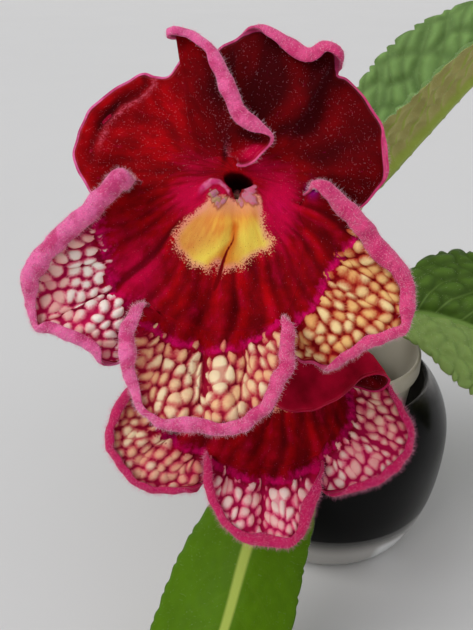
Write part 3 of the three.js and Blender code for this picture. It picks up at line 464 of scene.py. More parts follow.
# Meshes
def make_mesh(name, points, faces, marks=None, place=None):
    """A smooth mesh object in metres from millimetres; faces is a list of arrays of triangles or quads"""
    mesh = bpy.data.meshes.new(name)
    xyz = np.asarray(points, float)
    if place is not None:
        m = np.array(place)
        xyz = xyz @ m[:3, :3].T + m[:3, 3]
    mesh.from_pydata((xyz * MM).tolist(), [], [f for part in faces for f in np.asarray(part).tolist()])
    for key, value in (marks or {}).items():
        value = np.asarray(value, np.float32)
        kind, field = ("FLOAT_VECTOR", "vector") if value.ndim > 1 else ("FLOAT", "value")
        mesh.attributes.new(key, kind, "POINT").data.foreach_set(field, value.ravel())
    mesh.update()
    mesh.shade_smooth()
    piece = bpy.data.objects.new(name, mesh)
    bpy.context.collection.objects.link(piece)
    return piece


def face_out(piece):
    """Turns every face of a closed mesh outward"""
    bm = bmesh.new()
    bm.from_mesh(piece.data)
    bmesh.ops.recalc_face_normals(bm, faces=bm.faces)
    bm.to_mesh(piece.data)
    bm.free()
    return piece


def place_piece(piece, material, node=None):
    piece.data.materials.clear()
    piece.data.materials.append(material)
    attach(piece, "root")
    if node:
        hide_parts(node)
    return piece


def grid_faces(index, wrap=False):
    """Quads of a grid of point numbers, facing the viewer who sees rows go up and columns to the right"""
    if wrap:
        index = np.concatenate([index, index[:, :1]], 1)
    return np.stack([index[:-1, :-1], index[:-1, 1:], index[1:, 1:], index[1:, :-1]], -1).reshape(-1, 4)


def border(index):
    """Point numbers round a grid"""
    return np.concatenate([index[0], index[1:, -1], index[-1, ::-1][1:], index[::-1, 0][1:-1]])


def cap(ring, hub):
    """Triangles from a ring of point numbers to one point, facing back along the ring's turn"""
    return np.stack([np.roll(ring, -1), ring, np.full(len(ring), hub)], 1)


def fan(fine, coarse):
    """Triangles between a fine line of point numbers and a coarse one with the same ends"""
    step = (len(fine) - 1) // (len(coarse) - 1)
    middle = step // 2
    faces = []
    for k, (a, b) in enumerate(zip(coarse, coarse[1:])):
        some = fine[k * step:(k + 1) * step + 1]
        faces.append((a, b, some[middle]))
        faces += [(a if j < middle else b, some[j + 1], some[j]) for j in range(step)]
    return np.array(faces)


def point_normals(points, faces):
    normals = np.zeros_like(points)
    for part in faces:
        part = np.asarray(part)
        n = np.cross(points[part[:, 2]] - points[part[:, 0]], points[part[:, -1]] - points[part[:, 1]])
        if part.shape[1] == 3:
            n = np.cross(points[part[:, 1]] - points[part[:, 0]], points[part[:, 2]] - points[part[:, 0]])
        for k in range(part.shape[1]):
            np.add.at(normals, part[:, k], n)
    return unit(normals)


def even_out(values, faces, passes):
    """Values averaged among neighbours"""
    edges = [np.stack([f[:, k], np.roll(f, -1, 1)[:, k]], 1) for f in faces for k in range(f.shape[1])]
    edges = np.vstack(edges)
    weight = np.zeros(len(values))
    for k in (0, 1):
        np.add.at(weight, edges[:, k], 1)
    for _ in range(passes):
        total = np.zeros_like(values)
        np.add.at(total, edges[:, 0], values[edges[:, 1]])
        np.add.at(total, edges[:, 1], values[edges[:, 0]])
        values = 0.5 * values + 0.5 * total / weight[:, None]
    return unit(values)


def angles(count):
    """Angles all round a circle"""
    return np.arange(count) / count * TURN


def barrel(rings, sides):
    """Faces of a body of rings of points, closed by two more points behind its first and its last ring"""
    index = np.arange(rings * sides).reshape(rings, sides)
    caps = [cap(index[0], index.size), cap(index[-1], index.size + 1)[:, [1, 0, 2]]]
    return [grid_faces(index, wrap=True), np.vstack(caps)]


def turned(profile, sides):
    """Points and faces of radius and height pairs turned about the Z axis; both ends lie on the axis"""
    profile = np.asarray(profile, float)
    a = angles(sides)
    body = profile[1:-1]
    rings = np.stack([body[:, :1] * np.cos(a), body[:, :1] * np.sin(a), np.repeat(body[:, 1:], sides, 1)], -1)
    points = np.vstack([rings.reshape(-1, 3), (0, 0, profile[0, 1]), (0, 0, profile[-1, 1])])
    return points, barrel(len(body), sides)


def rounded(profile, fine=10):
    """The profile with its corners softened"""
    return Path([(r, 0, z) for r, z in profile], fine=fine).points[:, [0, 2]]


def tube(points, radius, steps, sides):
    """A round stem along a smooth path; radius is given along 0..1"""
    path = Path(points)
    share = np.linspace(0, 1, steps + 1)
    at, way = path.at(share), path.way(share)
    side = np.zeros_like(at)
    side[0] = np.cross(way[0], (0.3, 1, 0.2))
    for k in range(1, steps + 1):
        side[k] = side[k - 1] - way[k] * (side[k - 1] @ way[k])
        side[k] /= np.linalg.norm(side[k])
    side[0] /= np.linalg.norm(side[0])
    other = np.cross(way, side)
    a = angles(sides)
    r = np.array([radius(v) for v in share])[:, None, None]
    ring = side[:, None] * np.cos(a)[None, :, None] + other[:, None] * np.sin(a)[None, :, None]
    points = np.vstack([(at[:, None] + ring * r).reshape(-1, 3), at[0], at[-1]])
    return points, barrel(steps + 1, sides)


def ball(centre, size, rng, rough=0.12, levels=2):
    """A small lumpy ball"""
    bm = bmesh.new()
    bmesh.ops.create_icosphere(bm, subdivisions=levels, radius=1)
    points = np.array([v.co for v in bm.verts])
    faces = np.array([[v.index for v in f.verts] for f in bm.faces])
    bm.free()
    x, y, z = points.T
    phase = rng.random(3) * 6
    swell = 1 + rough * (np.sin(x * 5 + phase[0]) + np.sin(y * 6 + phase[1]) + np.sin(z * 4 + phase[2]))
    return points * swell[:, None] * np.asarray(size, float) + centre, [faces]


def joined(parts):
    """Several bodies of points and faces as one list of each"""
    points, faces, count = [], [], 0
    for p, f in parts:
        points.append(p)
        faces += [np.asarray(part) + count for part in f]
        count += len(p)
    return np.vstack(points), faces


def moved(body, matrix):
    m = np.array(matrix)
    return body[0] @ m[:3, :3].T + m[:3, 3], body[1]


def even_picks(rng, points, allowed, count, gap):
    """Numbers of allowed points, drawn evenly over the surface however dense its mesh is"""
    spots = np.flatnonzero(allowed)
    first = np.unique(np.round(points[spots] / gap), axis=0, return_index=True)[1]
    return rng.choice(spots[first], count)


def hairs(rng, roots, ways, length, width):
    """Thin three-sided hairs, sunk a little at the root"""
    count = len(roots)
    side = unit(np.cross(ways, rng.normal(size=(count, 3))))
    other = np.cross(ways, side)
    long = (length * rng.uniform(0.5, 1.15, count))[:, None]
    turns = np.arange(3) * TURN / 3
    feet = [roots - ways * long * 0.08 + (side * math.cos(a) + other * math.sin(a)) * width for a in turns]
    points = np.stack([*feet, roots + ways * long], 1).reshape(-1, 3)
    base = (np.arange(count) * 4)[:, None]
    return points, [np.vstack([base + corners for corners in ([0, 1, 3], [1, 2, 3], [2, 0, 3], [0, 2, 1])])]


# Materials
def srgb(*levels):
    """A linear colour from levels of 0 to 255"""
    return tuple((v / 255 / 12.92) if v < 10.4 else ((v / 255 + 0.055) / 1.055) ** 2.4 for v in levels)


class Tree:
    """Short hand for a node tree"""

    def __init__(self, tree):
        self.tree = tree

    def add(self, kind, inputs=None, **settings):
        node = self.tree.nodes.new("ShaderNode" + kind)
        for key, value in settings.items():
            setattr(node, key, value)
        for key, value in (inputs or {}).items():
            self.give(node.inputs[key], value)
        return node

    def give(self, socket, value):
        if isinstance(value, bpy.types.NodeSocket):
            self.tree.links.new(value, socket)
        elif socket.type == "RGBA":
            socket.default_value = (*value[:3], 1)
        else:
            socket.default_value = value

    def mark(self, name, out="Fac"):
        return self.add("Attribute", attribute_name=name).outputs[out]

    def math(self, operation, a, b=0.0, c=0.0):
        node = self.add("Math", operation=operation)
        for socket, value in zip(node.inputs, (a, b, c)):
            self.give(socket, value)
        return node.outputs[0]

    def times(self, a, b):
        return self.math("MULTIPLY", a, b)

    def step(self, value, low, high, to_low=0.0, to_high=1.0):
        """Smoothly from to_low where value is low to to_high where it is high"""
        node = self.add("MapRange", interpolation_type="SMOOTHSTEP")
        for socket, v in zip(node.inputs, (value, low, high, to_low, to_high)):
            self.give(socket, v)
        return node.outputs["Result"]

    def blend(self, factor, a, b, kind="MIX"):
        node = self.add("Mix", data_type="RGBA", blend_type=kind)
        for socket, value in ((node.inputs[0], factor), (node.inputs[6], a), (node.inputs[7], b)):
            self.give(socket, value)
        return node.outputs[2]

    def over(self, base, paint, value, low, high, most=1.0):
        """Paint over the base, none where value is low and most where it is high"""
        return self.blend(self.step(value, low, high, 0.0, most), base, paint)

    def shaded(self, colour, shade):
        grey = self.add("CombineColor", {0: shade, 1: shade, 2: shade}).outputs[0]
        return self.blend(1.0, colour, grey, "MULTIPLY")

    def noise(self, place, scale, detail=2.0, rough=0.5):
        inputs = {"Vector": place, "Scale": scale, "Detail": detail, "Roughness": rough}
        return self.add("TexNoise", inputs).outputs["Fac"]

    def wobble(self, value, size, place, scale, detail=2.0, rough=0.5):
        """The value with noise added, up to half the size either way"""
        noise = self.math("SUBTRACT", self.noise(place, scale, detail, rough), 0.5)
        return self.math("MULTIPLY_ADD", noise, size, value)

    def parts(self, vector):
        return self.add("SeparateXYZ", {0: vector}).outputs


def node_group(name, inputs, outputs):
    """A new shader node group; returns its tree, its inputs by name and its output node's sockets"""
    group = bpy.data.node_groups.new(name, "ShaderNodeTree")
    for side, sockets in (("INPUT", inputs), ("OUTPUT", outputs)):
        for label, kind, *start in sockets:
            socket = group.interface.new_socket(name=label, in_out=side, socket_type="NodeSocket" + kind)
            if start:
                socket.default_value = start[0]
    entry, leave = group.nodes.new("NodeGroupInput"), group.nodes.new("NodeGroupOutput")
    return Tree(group), entry.outputs, leave.inputs


def grouped(t, name, **inputs):
    """The outputs of a node that uses a group, with its values"""
    node = t.add("Group", node_tree=bpy.data.node_groups[name])
    for key, value in inputs.items():
        t.give(node.inputs[key.capitalize()], value)
    return node.outputs


def build_groups():
    """Effects that more than one material uses"""
    t, i, o = node_group("ragged_mask", [
        ("Distance", "Float", 0.0), ("Place", "Vector"), ("Raggedness", "Float", 1.0),
        ("Grain", "Float", 2.0), ("Softness", "Float", 0.3)], [("Mask", "Float")])
    distance = t.wobble(i["Distance"], i["Raggedness"], i["Place"], i["Grain"], 3.0, 0.6)
    t.give(o["Mask"], t.step(distance, t.times(i["Softness"], -1.0), i["Softness"]))

    t, i, o = node_group("velvet", [
        ("Colour", "Color"), ("Glint", "Color"), ("Place", "Vector"), ("Speckle", "Float", 0.3),
        ("Mottle", "Float", 0.2)], [("Colour", "Color"), ("Height", "Float")])
    nap = t.noise(i["Place"], 4.5, 2.0, 0.7)
    shade = t.wobble(1.0, i["Mottle"], i["Place"], 0.55, 3.0, 0.6)
    shade = t.math("MULTIPLY_ADD", t.math("SUBTRACT", nap, 0.5), t.times(i["Mottle"], 1.4), shade)
    cell = t.add("TexVoronoi", {"Vector": i["Place"], "Scale": 2.6})
    chance = t.step(t.parts(cell.outputs["Color"])[0], 0.82, 0.98)
    dot = t.times(t.step(cell.outputs["Distance"], 0.3, 0.12), chance)
    t.give(o["Colour"], t.blend(t.times(dot, i["Speckle"]), t.shaded(i["Colour"], shade), i["Glint"]))
    t.give(o["Height"], t.math("MULTIPLY_ADD", nap, 0.12, t.times(dot, 0.05)))

    t, i, o = node_group("mottle", [
        ("Colour", "Color"), ("Place", "Vector"), ("Scale", "Float", 1.0), ("Amount", "Float", 0.2),
    ], [("Colour", "Color"), ("Height", "Float")])
    noise = t.noise(i["Place"], i["Scale"], 5.0, 0.62)
    shade = t.math("MULTIPLY_ADD", t.math("SUBTRACT", noise, 0.5), i["Amount"], 1.0)
    t.give(o["Colour"], t.shaded(i["Colour"], shade))
    t.give(o["Height"], noise)


def new_material(name, rough, sheen=0.0, sheen_tint=(1, 1, 1), specular=0.5, coat=0.0, glow=0.0, glow_far=1.0,
                 coat_rough=0.1):
    """A material with its constants on the shader's own sockets; returns it, its tree and its shader"""
    material = bpy.data.materials.new(name)
    material.use_nodes = True
    material.node_tree.nodes.clear()
    t = Tree(material.node_tree)
    shader = t.add("BsdfPrincipled", {
        "Roughness": rough, "Sheen Weight": sheen, "Sheen Roughness": 0.45, "Sheen Tint": sheen_tint,
        "Specular IOR Level": specular, "Coat Weight": coat, "Coat Roughness": coat_rough,
        "Subsurface Weight": glow, "Subsurface Scale": glow_far * MM, "Subsurface Radius": (1.0, 0.4, 0.25)})
    t.give(t.add("OutputMaterial").inputs["Surface"], shader.outputs[0])
    return material, t, shader


def bump(t, shader, height, far, strength=1.0):
    """Relief of a height in millimetres"""
    node = t.add("Bump", {"Height": height, "Distance": far * MM, "Strength": strength})
    t.give(shader.inputs["Normal"], node.outputs[0])


def petal_face(t, look, deep, place, ray):
    """Red velvet darkened by painted shade, with clouds, dark streaks out from the throat, a magenta flush
    and painted crimson light
    """
    # painted shade darkens the bright red towards deep red
    painted_shade = t.mark("painted_shade")
    face = t.blend(painted_shade, look.red, look.deep_red)
    face = t.over(face, look.deep_red, t.noise(place, 0.13), 0.36, 0.66, 0.45)
    face = t.over(face, look.deep_red, t.noise(ray, 1.0, 3.0, 0.6), 0.35, 0.75, 0.5)
    flush = t.wobble(t.mark("flush"), 2.2, ray, 3.2, 3.0, 0.6)
    face = t.over(face, look.magenta, flush, 0.3, 1.3, 0.8 if deep else 0.9)
    # painted crimson light round the throat and on the flap, weaker where the painted shade is deep
    lit = t.step(t.wobble(t.mark("glow"), 1.3, ray, 1.6, 3.0, 0.6), 0.1, 1.1, 0.0, 0.9)
    face = t.blend(t.times(lit, t.step(painted_shade, 0.62, 0.22, 0.2, 1.0)), face, srgb(206, 4, 66))
    fuzz = t.times(t.step(t.noise(place, 3.2, 2.0, 0.7), 0.46, 0.6), t.mark("fuzz"))
    face = t.blend(fuzz, face, srgb(214, 92, 116))
    return grouped(t, "velvet", colour=face, glint=srgb(255, 130, 160), place=place, speckle=0.3, mottle=0.4)


def petal_pebbles(t, look, deep, place, ray, ground):
    """Pebbles in a net over the ground, cool where warm is 0 and yellow where it is 1, their darker feet
    pink and also painted shade, with painted shade in the creases and in the net where warm is 1
    """
    warm, wall, tone, zone = (t.mark(name) for name in ("warm", "pebble", "tone", "zone"))

    def tint(cool, hot):
        return t.blend(warm, cool, hot)

    cream = tint(look.pebble_left, look.pebble_right)
    cream = t.over(cream, tint(srgb(246, 142, 158), srgb(234, 168, 98)), tone, 0.4, 0.0, 0.6)
    clouds = t.noise(place, 0.7)
    cream = t.over(cream, tint(srgb(250, 164, 170), srgb(232, 156, 100)), clouds, 0.45, 0.7, 0.45)
    white = srgb(255, 226, 216) if deep else srgb(255, 250, 242)
    cream = t.over(cream, tint(white, srgb(250, 224, 164)), tone, 0.45, 1.0, 0.88)
    # the feet are pink, and darker down the pebbles' sides as painted shade
    foot = tint(srgb(232, 80, 126), srgb(180, 50, 36))
    full = t.math("MULTIPLY_ADD", warm, 0.34, 0.6 if deep else 0.44)
    stone = t.over(foot, cream, t.wobble(wall, 0.3, place, 2.4), 0.02, full)
    # painted shade in the creases between joined pebbles
    stone = t.over(stone, foot, t.mark("crease"), 0.25, 0.04, 0.55)
    frayed = t.times(t.math("SUBTRACT", 1.0, zone), t.step(t.noise(ray, 3.2), 0.42, 0.68, 0.0, 0.7))
    frayed = t.math("SUBTRACT", t.math("SUBTRACT", wall, 0.06), frayed)
    spots = grouped(t, "ragged_mask", distance=frayed, place=place, raggedness=0.2, grain=1.5, softness=0.09)
    # the net is magenta where warm is 0 and darker crimson where it is 1, that darkness painted shade
    net = tint(srgb(196, 20, 88), srgb(136, 12, 20))
    return t.blend(spots["Mask"], t.blend(t.times(zone, 0.85), ground, net), stone)


def petal_patch(t, look, place, ray, colour):
    """Yellow patch under the throat, orange to the top and ochre to the left, with a stippled fringe"""
    x, y, _ = t.parts(place)
    patch, seam = t.mark("patch"), t.mark("seam")
    gold = t.over(look.yellow, look.orange, t.noise(ray, 1.3), 0.35, 0.7, 0.7)
    gold = t.over(gold, look.orange, y, -11.0, -4.0, 0.85)
    gold = t.over(gold, srgb(222, 140, 74), x, -2.0, -8.0, 0.6)
    low = t.step(t.math("MULTIPLY_ADD", x, -0.5, y), -8.0, -12.5)
    bright = t.times(low, t.step(t.noise(ray, 0.8, 1.0), 0.8, 0.42, 0.5, 1.0))
    gold = t.blend(bright, gold, srgb(255, 226, 92))
    gold = t.over(gold, srgb(216, 98, 22), seam, 11.0, 1.0, 0.85)
    gold = t.over(gold, srgb(234, 162, 118), y, -8.0, -4.5, 0.7)
    gold = t.over(gold, srgb(244, 156, 140), patch, 1.8, 0.0, 0.75)
    edge = t.wobble(patch, 1.6, place, 0.5)
    edge = t.wobble(edge, t.step(y, -4.0, -9.0, 1.5, 6.5), place, 2.9, 2.0, 0.7)
    colour = t.over(colour, gold, edge, -0.45, 0.45)
    vein = t.times(t.step(t.wobble(seam, 0.6, place, 1.2), 1.5, 0.6), t.step(y, -9.5, -12.5))
    colour = t.blend(vein, colour, srgb(118, 0, 6))
    pepper = t.times(t.step(t.noise(place, 3.4, 1.0), 0.67, 0.74), t.step(patch, 0.2, 1.2, 0.0, 0.55))
    return t.blend(t.times(pepper, t.step(y, -9.0, -12.0)), colour, srgb(150, 10, 30))


def petal_sill(t, place, colour):
    """Knobs with painted shade in the gaps round them, a pink arch at the sill of the mouth, and the violet
    fold beside it
    """
    x, _, _ = t.parts(place)
    bits = t.mark("knobs")
    # painted shade in the gaps round the knobs
    colour = t.over(colour, srgb(146, 40, 44), bits, 0.06, 0.3, 0.6)
    knob = t.over(srgb(182, 150, 112), srgb(216, 104, 138), x, 0.6, 2.2)
    knob = t.over(knob, srgb(202, 128, 152), t.noise(place, 0.9), 0.46, 0.56)
    colour = t.over(colour, knob, bits, 0.28, 0.62, 0.85)
    lip = t.over(srgb(238, 130, 170), srgb(212, 62, 122), t.noise(place, 0.5), 0.35, 0.65)
    lip = t.over(lip, srgb(206, 30, 112), x, -5.5, -8.0, 0.8)
    colour = t.over(colour, lip, t.mark("arch"), 0.35, 0.95, 0.95)
    return t.blend(t.mark("violet"), colour, srgb(160, 16, 168))


def petal_hem(t, look, deep, place):
    """Pink velvet of the rolled hem, paler to the left"""
    pink = t.over(look.pink_left, look.pink_right, t.parts(place)[0], -24.0, 26.0)
    pink = t.blend(deep, pink, srgb(200, 24, 88))
    pink = t.over(pink, srgb(196, 36, 100), t.noise(place, 0.35, 3.0), 0.4, 0.66, 0.7)
    pink = t.over(pink, srgb(170, 20, 80), t.noise(place, 1.5, 3.0, 0.7), 0.5, 0.72, 0.4)
    return grouped(t, "velvet", colour=pink, glint=srgb(255, 225, 238), place=place, speckle=0.35,
                   mottle=0.45)


def petal_material(name, look, deep, sheen, tint):
    """Velvet face, netted pebbles, yellow patch and pink rolled hem; deep makes the hem more crimson"""
    material, t, shader = new_material(name, 0.75, sheen, tint, specular=0.05, glow=0.1, glow_far=0.5)
    place, ray = t.mark("place", "Vector"), t.mark("ray", "Vector")
    velvet = petal_face(t, look, deep, place, ray)
    colour = petal_pebbles(t, look, deep, place, ray, velvet["Colour"])
    colour = petal_sill(t, place, petal_patch(t, look, place, ray, colour))
    pink = petal_hem(t, look, deep, place)
    back, shy = look.back_red, 0.0
    if deep:
        back, shy = t.over(srgb(196, 6, 50), srgb(126, 0, 22), t.noise(place, 0.11, 3.0), 0.35, 0.7), 1.5
    back = t.over(back, pink["Colour"], t.mark("blush"), shy - 1.6, shy + 0.6)
    front = t.over(colour, pink["Colour"], t.mark("pink"), 0.0, 0.22)
    t.give(shader.inputs["Base Color"], t.over(front, back, t.mark("reverse"), 0.35, 0.65))
    bump(t, shader, t.math("ADD", velvet["Height"], pink["Height"]), 1.1, 0.8)
    return material


def leaf_material(name, look, upper, dark, vein, lines, coat, hollow_shade):
    """Green blade with painted shade in its sunken veins and cell nets, painted light on the half that faces
    the light and a paler back, on a mottled stalk
    """
    material, t, shader = new_material(name, 0.5, specular=0.07, coat=coat, coat_rough=0.3, glow=0.06,
                                       glow_far=0.6)
    place, across, rib = t.mark("place", "Vector"), t.mark("across"), t.mark("rib")

    def mottled(colour, scale, amount):
        return grouped(t, "mottle", colour=colour, place=place, scale=scale, amount=amount)

    share = t.math("FRACT", t.mark("phase"))
    nearest = t.math("MINIMUM", share, t.math("SUBTRACT", 1.0, share))
    vein_at = t.times(nearest, 0.8 * look.vein_spacing / MM)
    # painted shade: the sunken veins and the nets between the small cells are blended towards the darker
    # green
    low = t.math("MAXIMUM", t.times(t.step(t.mark("net"), 1.4, -0.3), hollow_shade),
                 t.times(t.step(vein_at, 2.4, -0.4), hollow_shade))
    face = mottled(t.blend(low, upper, dark), 0.16, 0.5)["Colour"]
    line = t.times(t.step(vein_at, 0.5, 0.1), t.step(across, 18.0, 2.0, 0.1 * lines, 0.6 * lines))
    face = t.over(t.blend(line, face, vein), vein, across, t.times(rib, 1.25), t.times(rib, 0.5))
    back = t.over(look.olive, vein, vein_at, 0.7, 0.2, 0.8)
    back = mottled(t.over(back, vein, across, 2.6, 1.4), 0.5, 0.3)["Colour"]
    stalk = mottled(look.stalk_green, 0.6, 0.4)["Colour"]
    # painted light: the half of the blade that faces the light is painted paler
    face = t.blend(t.mark("pale"), face, t.blend(0.6, face, srgb(150, 176, 100)))
    blade = t.blend(t.mark("reverse"), face, back)
    t.give(shader.inputs["Base Color"], t.blend(t.mark("blade"), stalk, blade))
    bump(t, shader, mottled(upper, 2.4, 0.0)["Height"], 0.25, 0.5)
    return material


def plain_material(name, colour, rough, scale, amount, far, sheen=0.0, specular=0.5, second=None):
    """Mottled colour with its own relief; returns the material, its tree, shader, colour and place"""
    material, t, shader = new_material(name, rough, sheen, specular=specular)
    millimetres = t.add("VectorMath", {0: t.add("TexCoord").outputs["Object"], 1: (1000, 1000, 1000)},
                        operation="MULTIPLY")
    place = millimetres.outputs[0]
    if second:
        colour = t.over(colour, second, t.noise(place, scale * 0.35, 3.0), 0.42, 0.62)
    mottled = grouped(t, "mottle", colour=colour, place=place, scale=scale, amount=amount)
    t.give(shader.inputs["Base Color"], mottled["Colour"])
    bump(t, shader, mottled["Height"], far, 0.7)
    return material, t, shader, mottled["Colour"], place


def hair_material(name, colour, specular=0.5):
    return plain_material(name, colour, rough=0.6, scale=0.4, amount=0.1, far=0.01, specular=specular)[0]


# Blooms
PEBBLE_CENTRE = np.array([-1.0, -3.0])
PATCH_CENTRE_Y = -4
RIB_CENTRE_Y = 3
# Every third column of a lobe goes on into the throat and over the back
COARSE = 3
HEM_ROWS = 13
UPPER_RIGHT, UPPER_LEFT = 1, 2
# Marks of a point on the skin, and what they are where a part of it gives none
MARKS = {"rim": -20.0, "pink": -20.0, "blush": -20.0, "thin": 0.0, "pebble": -1.0, "crease": 2.0, "tone": 0.0,
         "zone": 0.0, "lobe": -1.0, "nap": 0.0}


def bloom_matrix(number):
    c, s = math.cos(math.radians(PITCH)), math.sin(math.radians(PITCH))
    m = Matrix(((1, 0, 0, 0), (0, s, -c, 0), (0, c, s, 0), (0, 0, 0, 1)))
    m.translation = Vector(THROATS[number])
    return m


def lobe_rows(lobes):
    """Each lobe's full rows, from its first notch to the next lobe's"""
    full = {name: [[*row, *FLAT[len(row) - 3:]] for row in rows] for name, rows in lobes.items()}
    starts = [rows[0] for rows in full.values()]
    return {name: [*full[name], end] for name, end in zip(full, [*starts[1:], starts[0]])}


def knobs(x, y):
    """Small uneven bits at the sill of the mouth"""
    x, y = x + 0.25 * np.sin(5 * y), y + 0.25 * np.sin(6 * x)
    return sum(high * hill(x, y, cx, cy, wide, wide) for cx, cy, high, wide in KNOBS)


def ribs(x, y):
    """Uneven folds that run out from the throat, finer over the lower lobes than over the upper ones"""
    far = np.hypot(x, y)
    a = np.arctan2(x, -(y - RIB_CENTRE_Y))
    drift = 0.7 * np.sin(far * 0.22 + 1.7 * a) + 0.5 * np.sin(far * 0.4 - 3 * a)
    fine = np.sin(a * 33 + drift) * (0.55 + 0.45 * np.sin(a * 7.3 + 1)) + 0.4 * np.sin(a * 57 + 2 * drift)
    wide = np.sin(a * 13 + 1.5 * drift) * (0.6 + 0.4 * np.sin(a * 3.1 + 0.6))
    low = ease(5, -3, y)
    return low * 0.36 * fine * ease(11, 17, far) + (1 - low) * 0.5 * wide * ease(9, 20, far)


def bloom_relief(form, x, y):
    """Height of the folds, ribs and swells of the face"""
    folds = sum(h * np.exp(-(((x - mix(a, b, (y + 20) / -28)) / w) ** 2)) for a, b, h, w in form["folds"])
    swell = 0.35 * np.sin(x * 0.55 + 1.2) * np.sin(y * 0.5 + 0.4) * ease(14, 24, np.hypot(x, y))
    height = ease(-14, -24, y) * folds + ribs(x, y) + swell
    if form["crease"]:
        d = line_distance(form["crease"], x, y)
        up = ease(2, 8, y) * ease(-10, -14, x)
        height = height + up * (0.9 * np.exp(-((d / 0.9) ** 2)) - 1.4 * np.exp(-(((d + 2.8) / 1.8) ** 2)))
        d = line_distance(FLAP, x, y)
        height = height + 1.1 * ease(-0.4, 0.4, d) * np.exp(-((d / 2.8) ** 2)) * ease(11.5, 9, y)
    return height


def palate_relief(form, x, y):
    cx, cy, high, wide, tall = form["palate"]
    return high * hill(x, y, cx, cy, wide, tall)


def throat_relief(x, y):
    """Lips and small folds on the palate, just under the mouth"""
    swell = -0.4 * ridge(PALATE_LINE, x, y, 1.0)
    swell = swell + 0.5 * hill(x, y, 2.6, -8, 1.6, 5.5) + 0.4 * hill(x, y, -3, -9, 1.8, 5)
    return 0.8 * ridge(ARCH, x, y, 0.85) + 0.8 * knobs(x, y) + swell


def lobe_grid(form, rows, ring, first, last, columns, face_rows, hood, rng):
    """Points of one lobe from the ring round the throat out over its rolled hem, each point's distance out
    from the start of the hem, its distance into the pink of the front and of the back, and how thin it is"""
    edge = Path([r[:3] for r in rows])
    side = NOTCH / edge.length
    u = np.linspace(side, 1 - side, columns)
    rim = edge.at(u)
    t = edge.at(np.minimum(1, u + 0.02)) - edge.at(np.maximum(0, u - 0.02))
    near = max(1, int(columns / edge.length * 1.2))
    outward = unit(blur(unit(np.stack([t[:, 1], -t[:, 0], 0 * u], 1)), near))
    t = unit(t)
    calm = np.sin(math.pi * np.minimum(0.5, 6 * np.minimum(u, 1 - u))) ** 2

    def ripple(size, count, low, high):
        return size * waves(rng, columns, count, edge.length / low, edge.length / high) * calm

    knot = edge.knot(u)
    turn, radius, flap = (np.interp(knot, np.arange(len(rows)), [r[k] for r in rows]) for k in (3, 4, 5))
    turn = blur(np.radians(turn) * calm, near)
    radius = blur(radius, near) * (1 + ripple(0.16, 6, 16, 6))
    before, after = edge.way(np.maximum(0, u - 0.03)), edge.way(np.minimum(1, u + 0.03))
    bend = np.clip(before[:, 0] * after[:, 1] - before[:, 1] * after[:, 0], 0, 1)
    wound = np.abs(turn)
    flap = blur(np.maximum(flap * (1 - 0.6 * bend) * calm, 1.0 - radius * wound), near)
    flap = flap * (1 + ripple(0.25, 6, 14, 5))
    reach = np.where(wound > 1.57, radius, radius * np.sin(wound) + flap * np.cos(turn))
    rim = rim + outward * ripple(0.25, 5, 12, 5)[:, None]
    folded = any(hood)
    start = rim if folded else rim - outward * (reach * calm)[:, None]
    base = ring.at_knot(mix(first, last, np.linspace(0, 1, columns)))

    def face(s):
        p = base[None] + (start - base)[None] * s[:, None, None]
        p[..., 2] = mix(base[None, :, 2], start[None, :, 2], (ease(0, 1, s) * 0.6 + s * 0.4)[:, None])
        p += np.asarray(hood, float) * (4 * s * (1 - s))[:, None, None] * np.sin(math.pi * u)[None, :, None]
        p[..., 2] += bloom_relief(form, p[..., 0], p[..., 1]) * (1 - ease(0.82, 1, s))[:, None]
        return p

    s = np.linspace(0, 1, face_rows + 1)
    s = s * (1.45 - 0.45 * s)
    sheet = face(s)
    inner = face(np.array([0.72]))[0]
    slope = (start[:, 2] - inner[:, 2]) / np.maximum(1.5, np.hypot(*(start - inner)[:, :2].T))
    out = start - inner if folded else np.stack([*outward[:, :2].T, np.clip(slope, -0.7, 0.7) * calm], 1)
    out = unit(blur(unit(out - t * (out * t).sum(1, keepdims=True)), near))
    forward = unit(np.cross(out, t))
    whole = radius * wound + flap
    h = (np.arange(HEM_ROWS) + 0.5) / HEM_ROWS
    arc = np.minimum(h[:, None] * whole, radius * wound)
    angle = np.sign(turn) * (arc + 0.35 * (h[:, None] * whole - arc)) / radius
    step = whole / HEM_ROWS
    hem = start[None] + np.cumsum(np.cos(angle) * step, 0)[..., None] * out[None]
    hem += np.cumsum(np.sin(angle) * step, 0)[..., None] * forward[None]
    away = np.concatenate([(s - 1)[:, None] * np.linalg.norm(start - base, axis=1)[None],
                           (np.arange(1, HEM_ROWS + 1) / HEM_ROWS)[:, None] * whole[None]])
    # a rolled hem is pink from its start, a flat one only along its very edge
    rolled = ease(0.5, 1.5, wound)
    blunt = 3 * ease(0.9, 0.3, calm * ease(0, 0.3, wound + 0.3)) * (radius > 1.05)
    pink = away - mix(np.maximum(0.2, whole - 0.6), 0.15, rolled)[None] - blunt[None]
    blush = away + mix(-0.4, 1.8, rolled)[None] - 2 * blunt[None]
    thin = ease(1.2, 0, whole[None] - away) * (1 - rolled)[None]
    return np.concatenate([sheet, hem]), {"rim": away, "pink": pink, "blush": blush, "thin": thin}


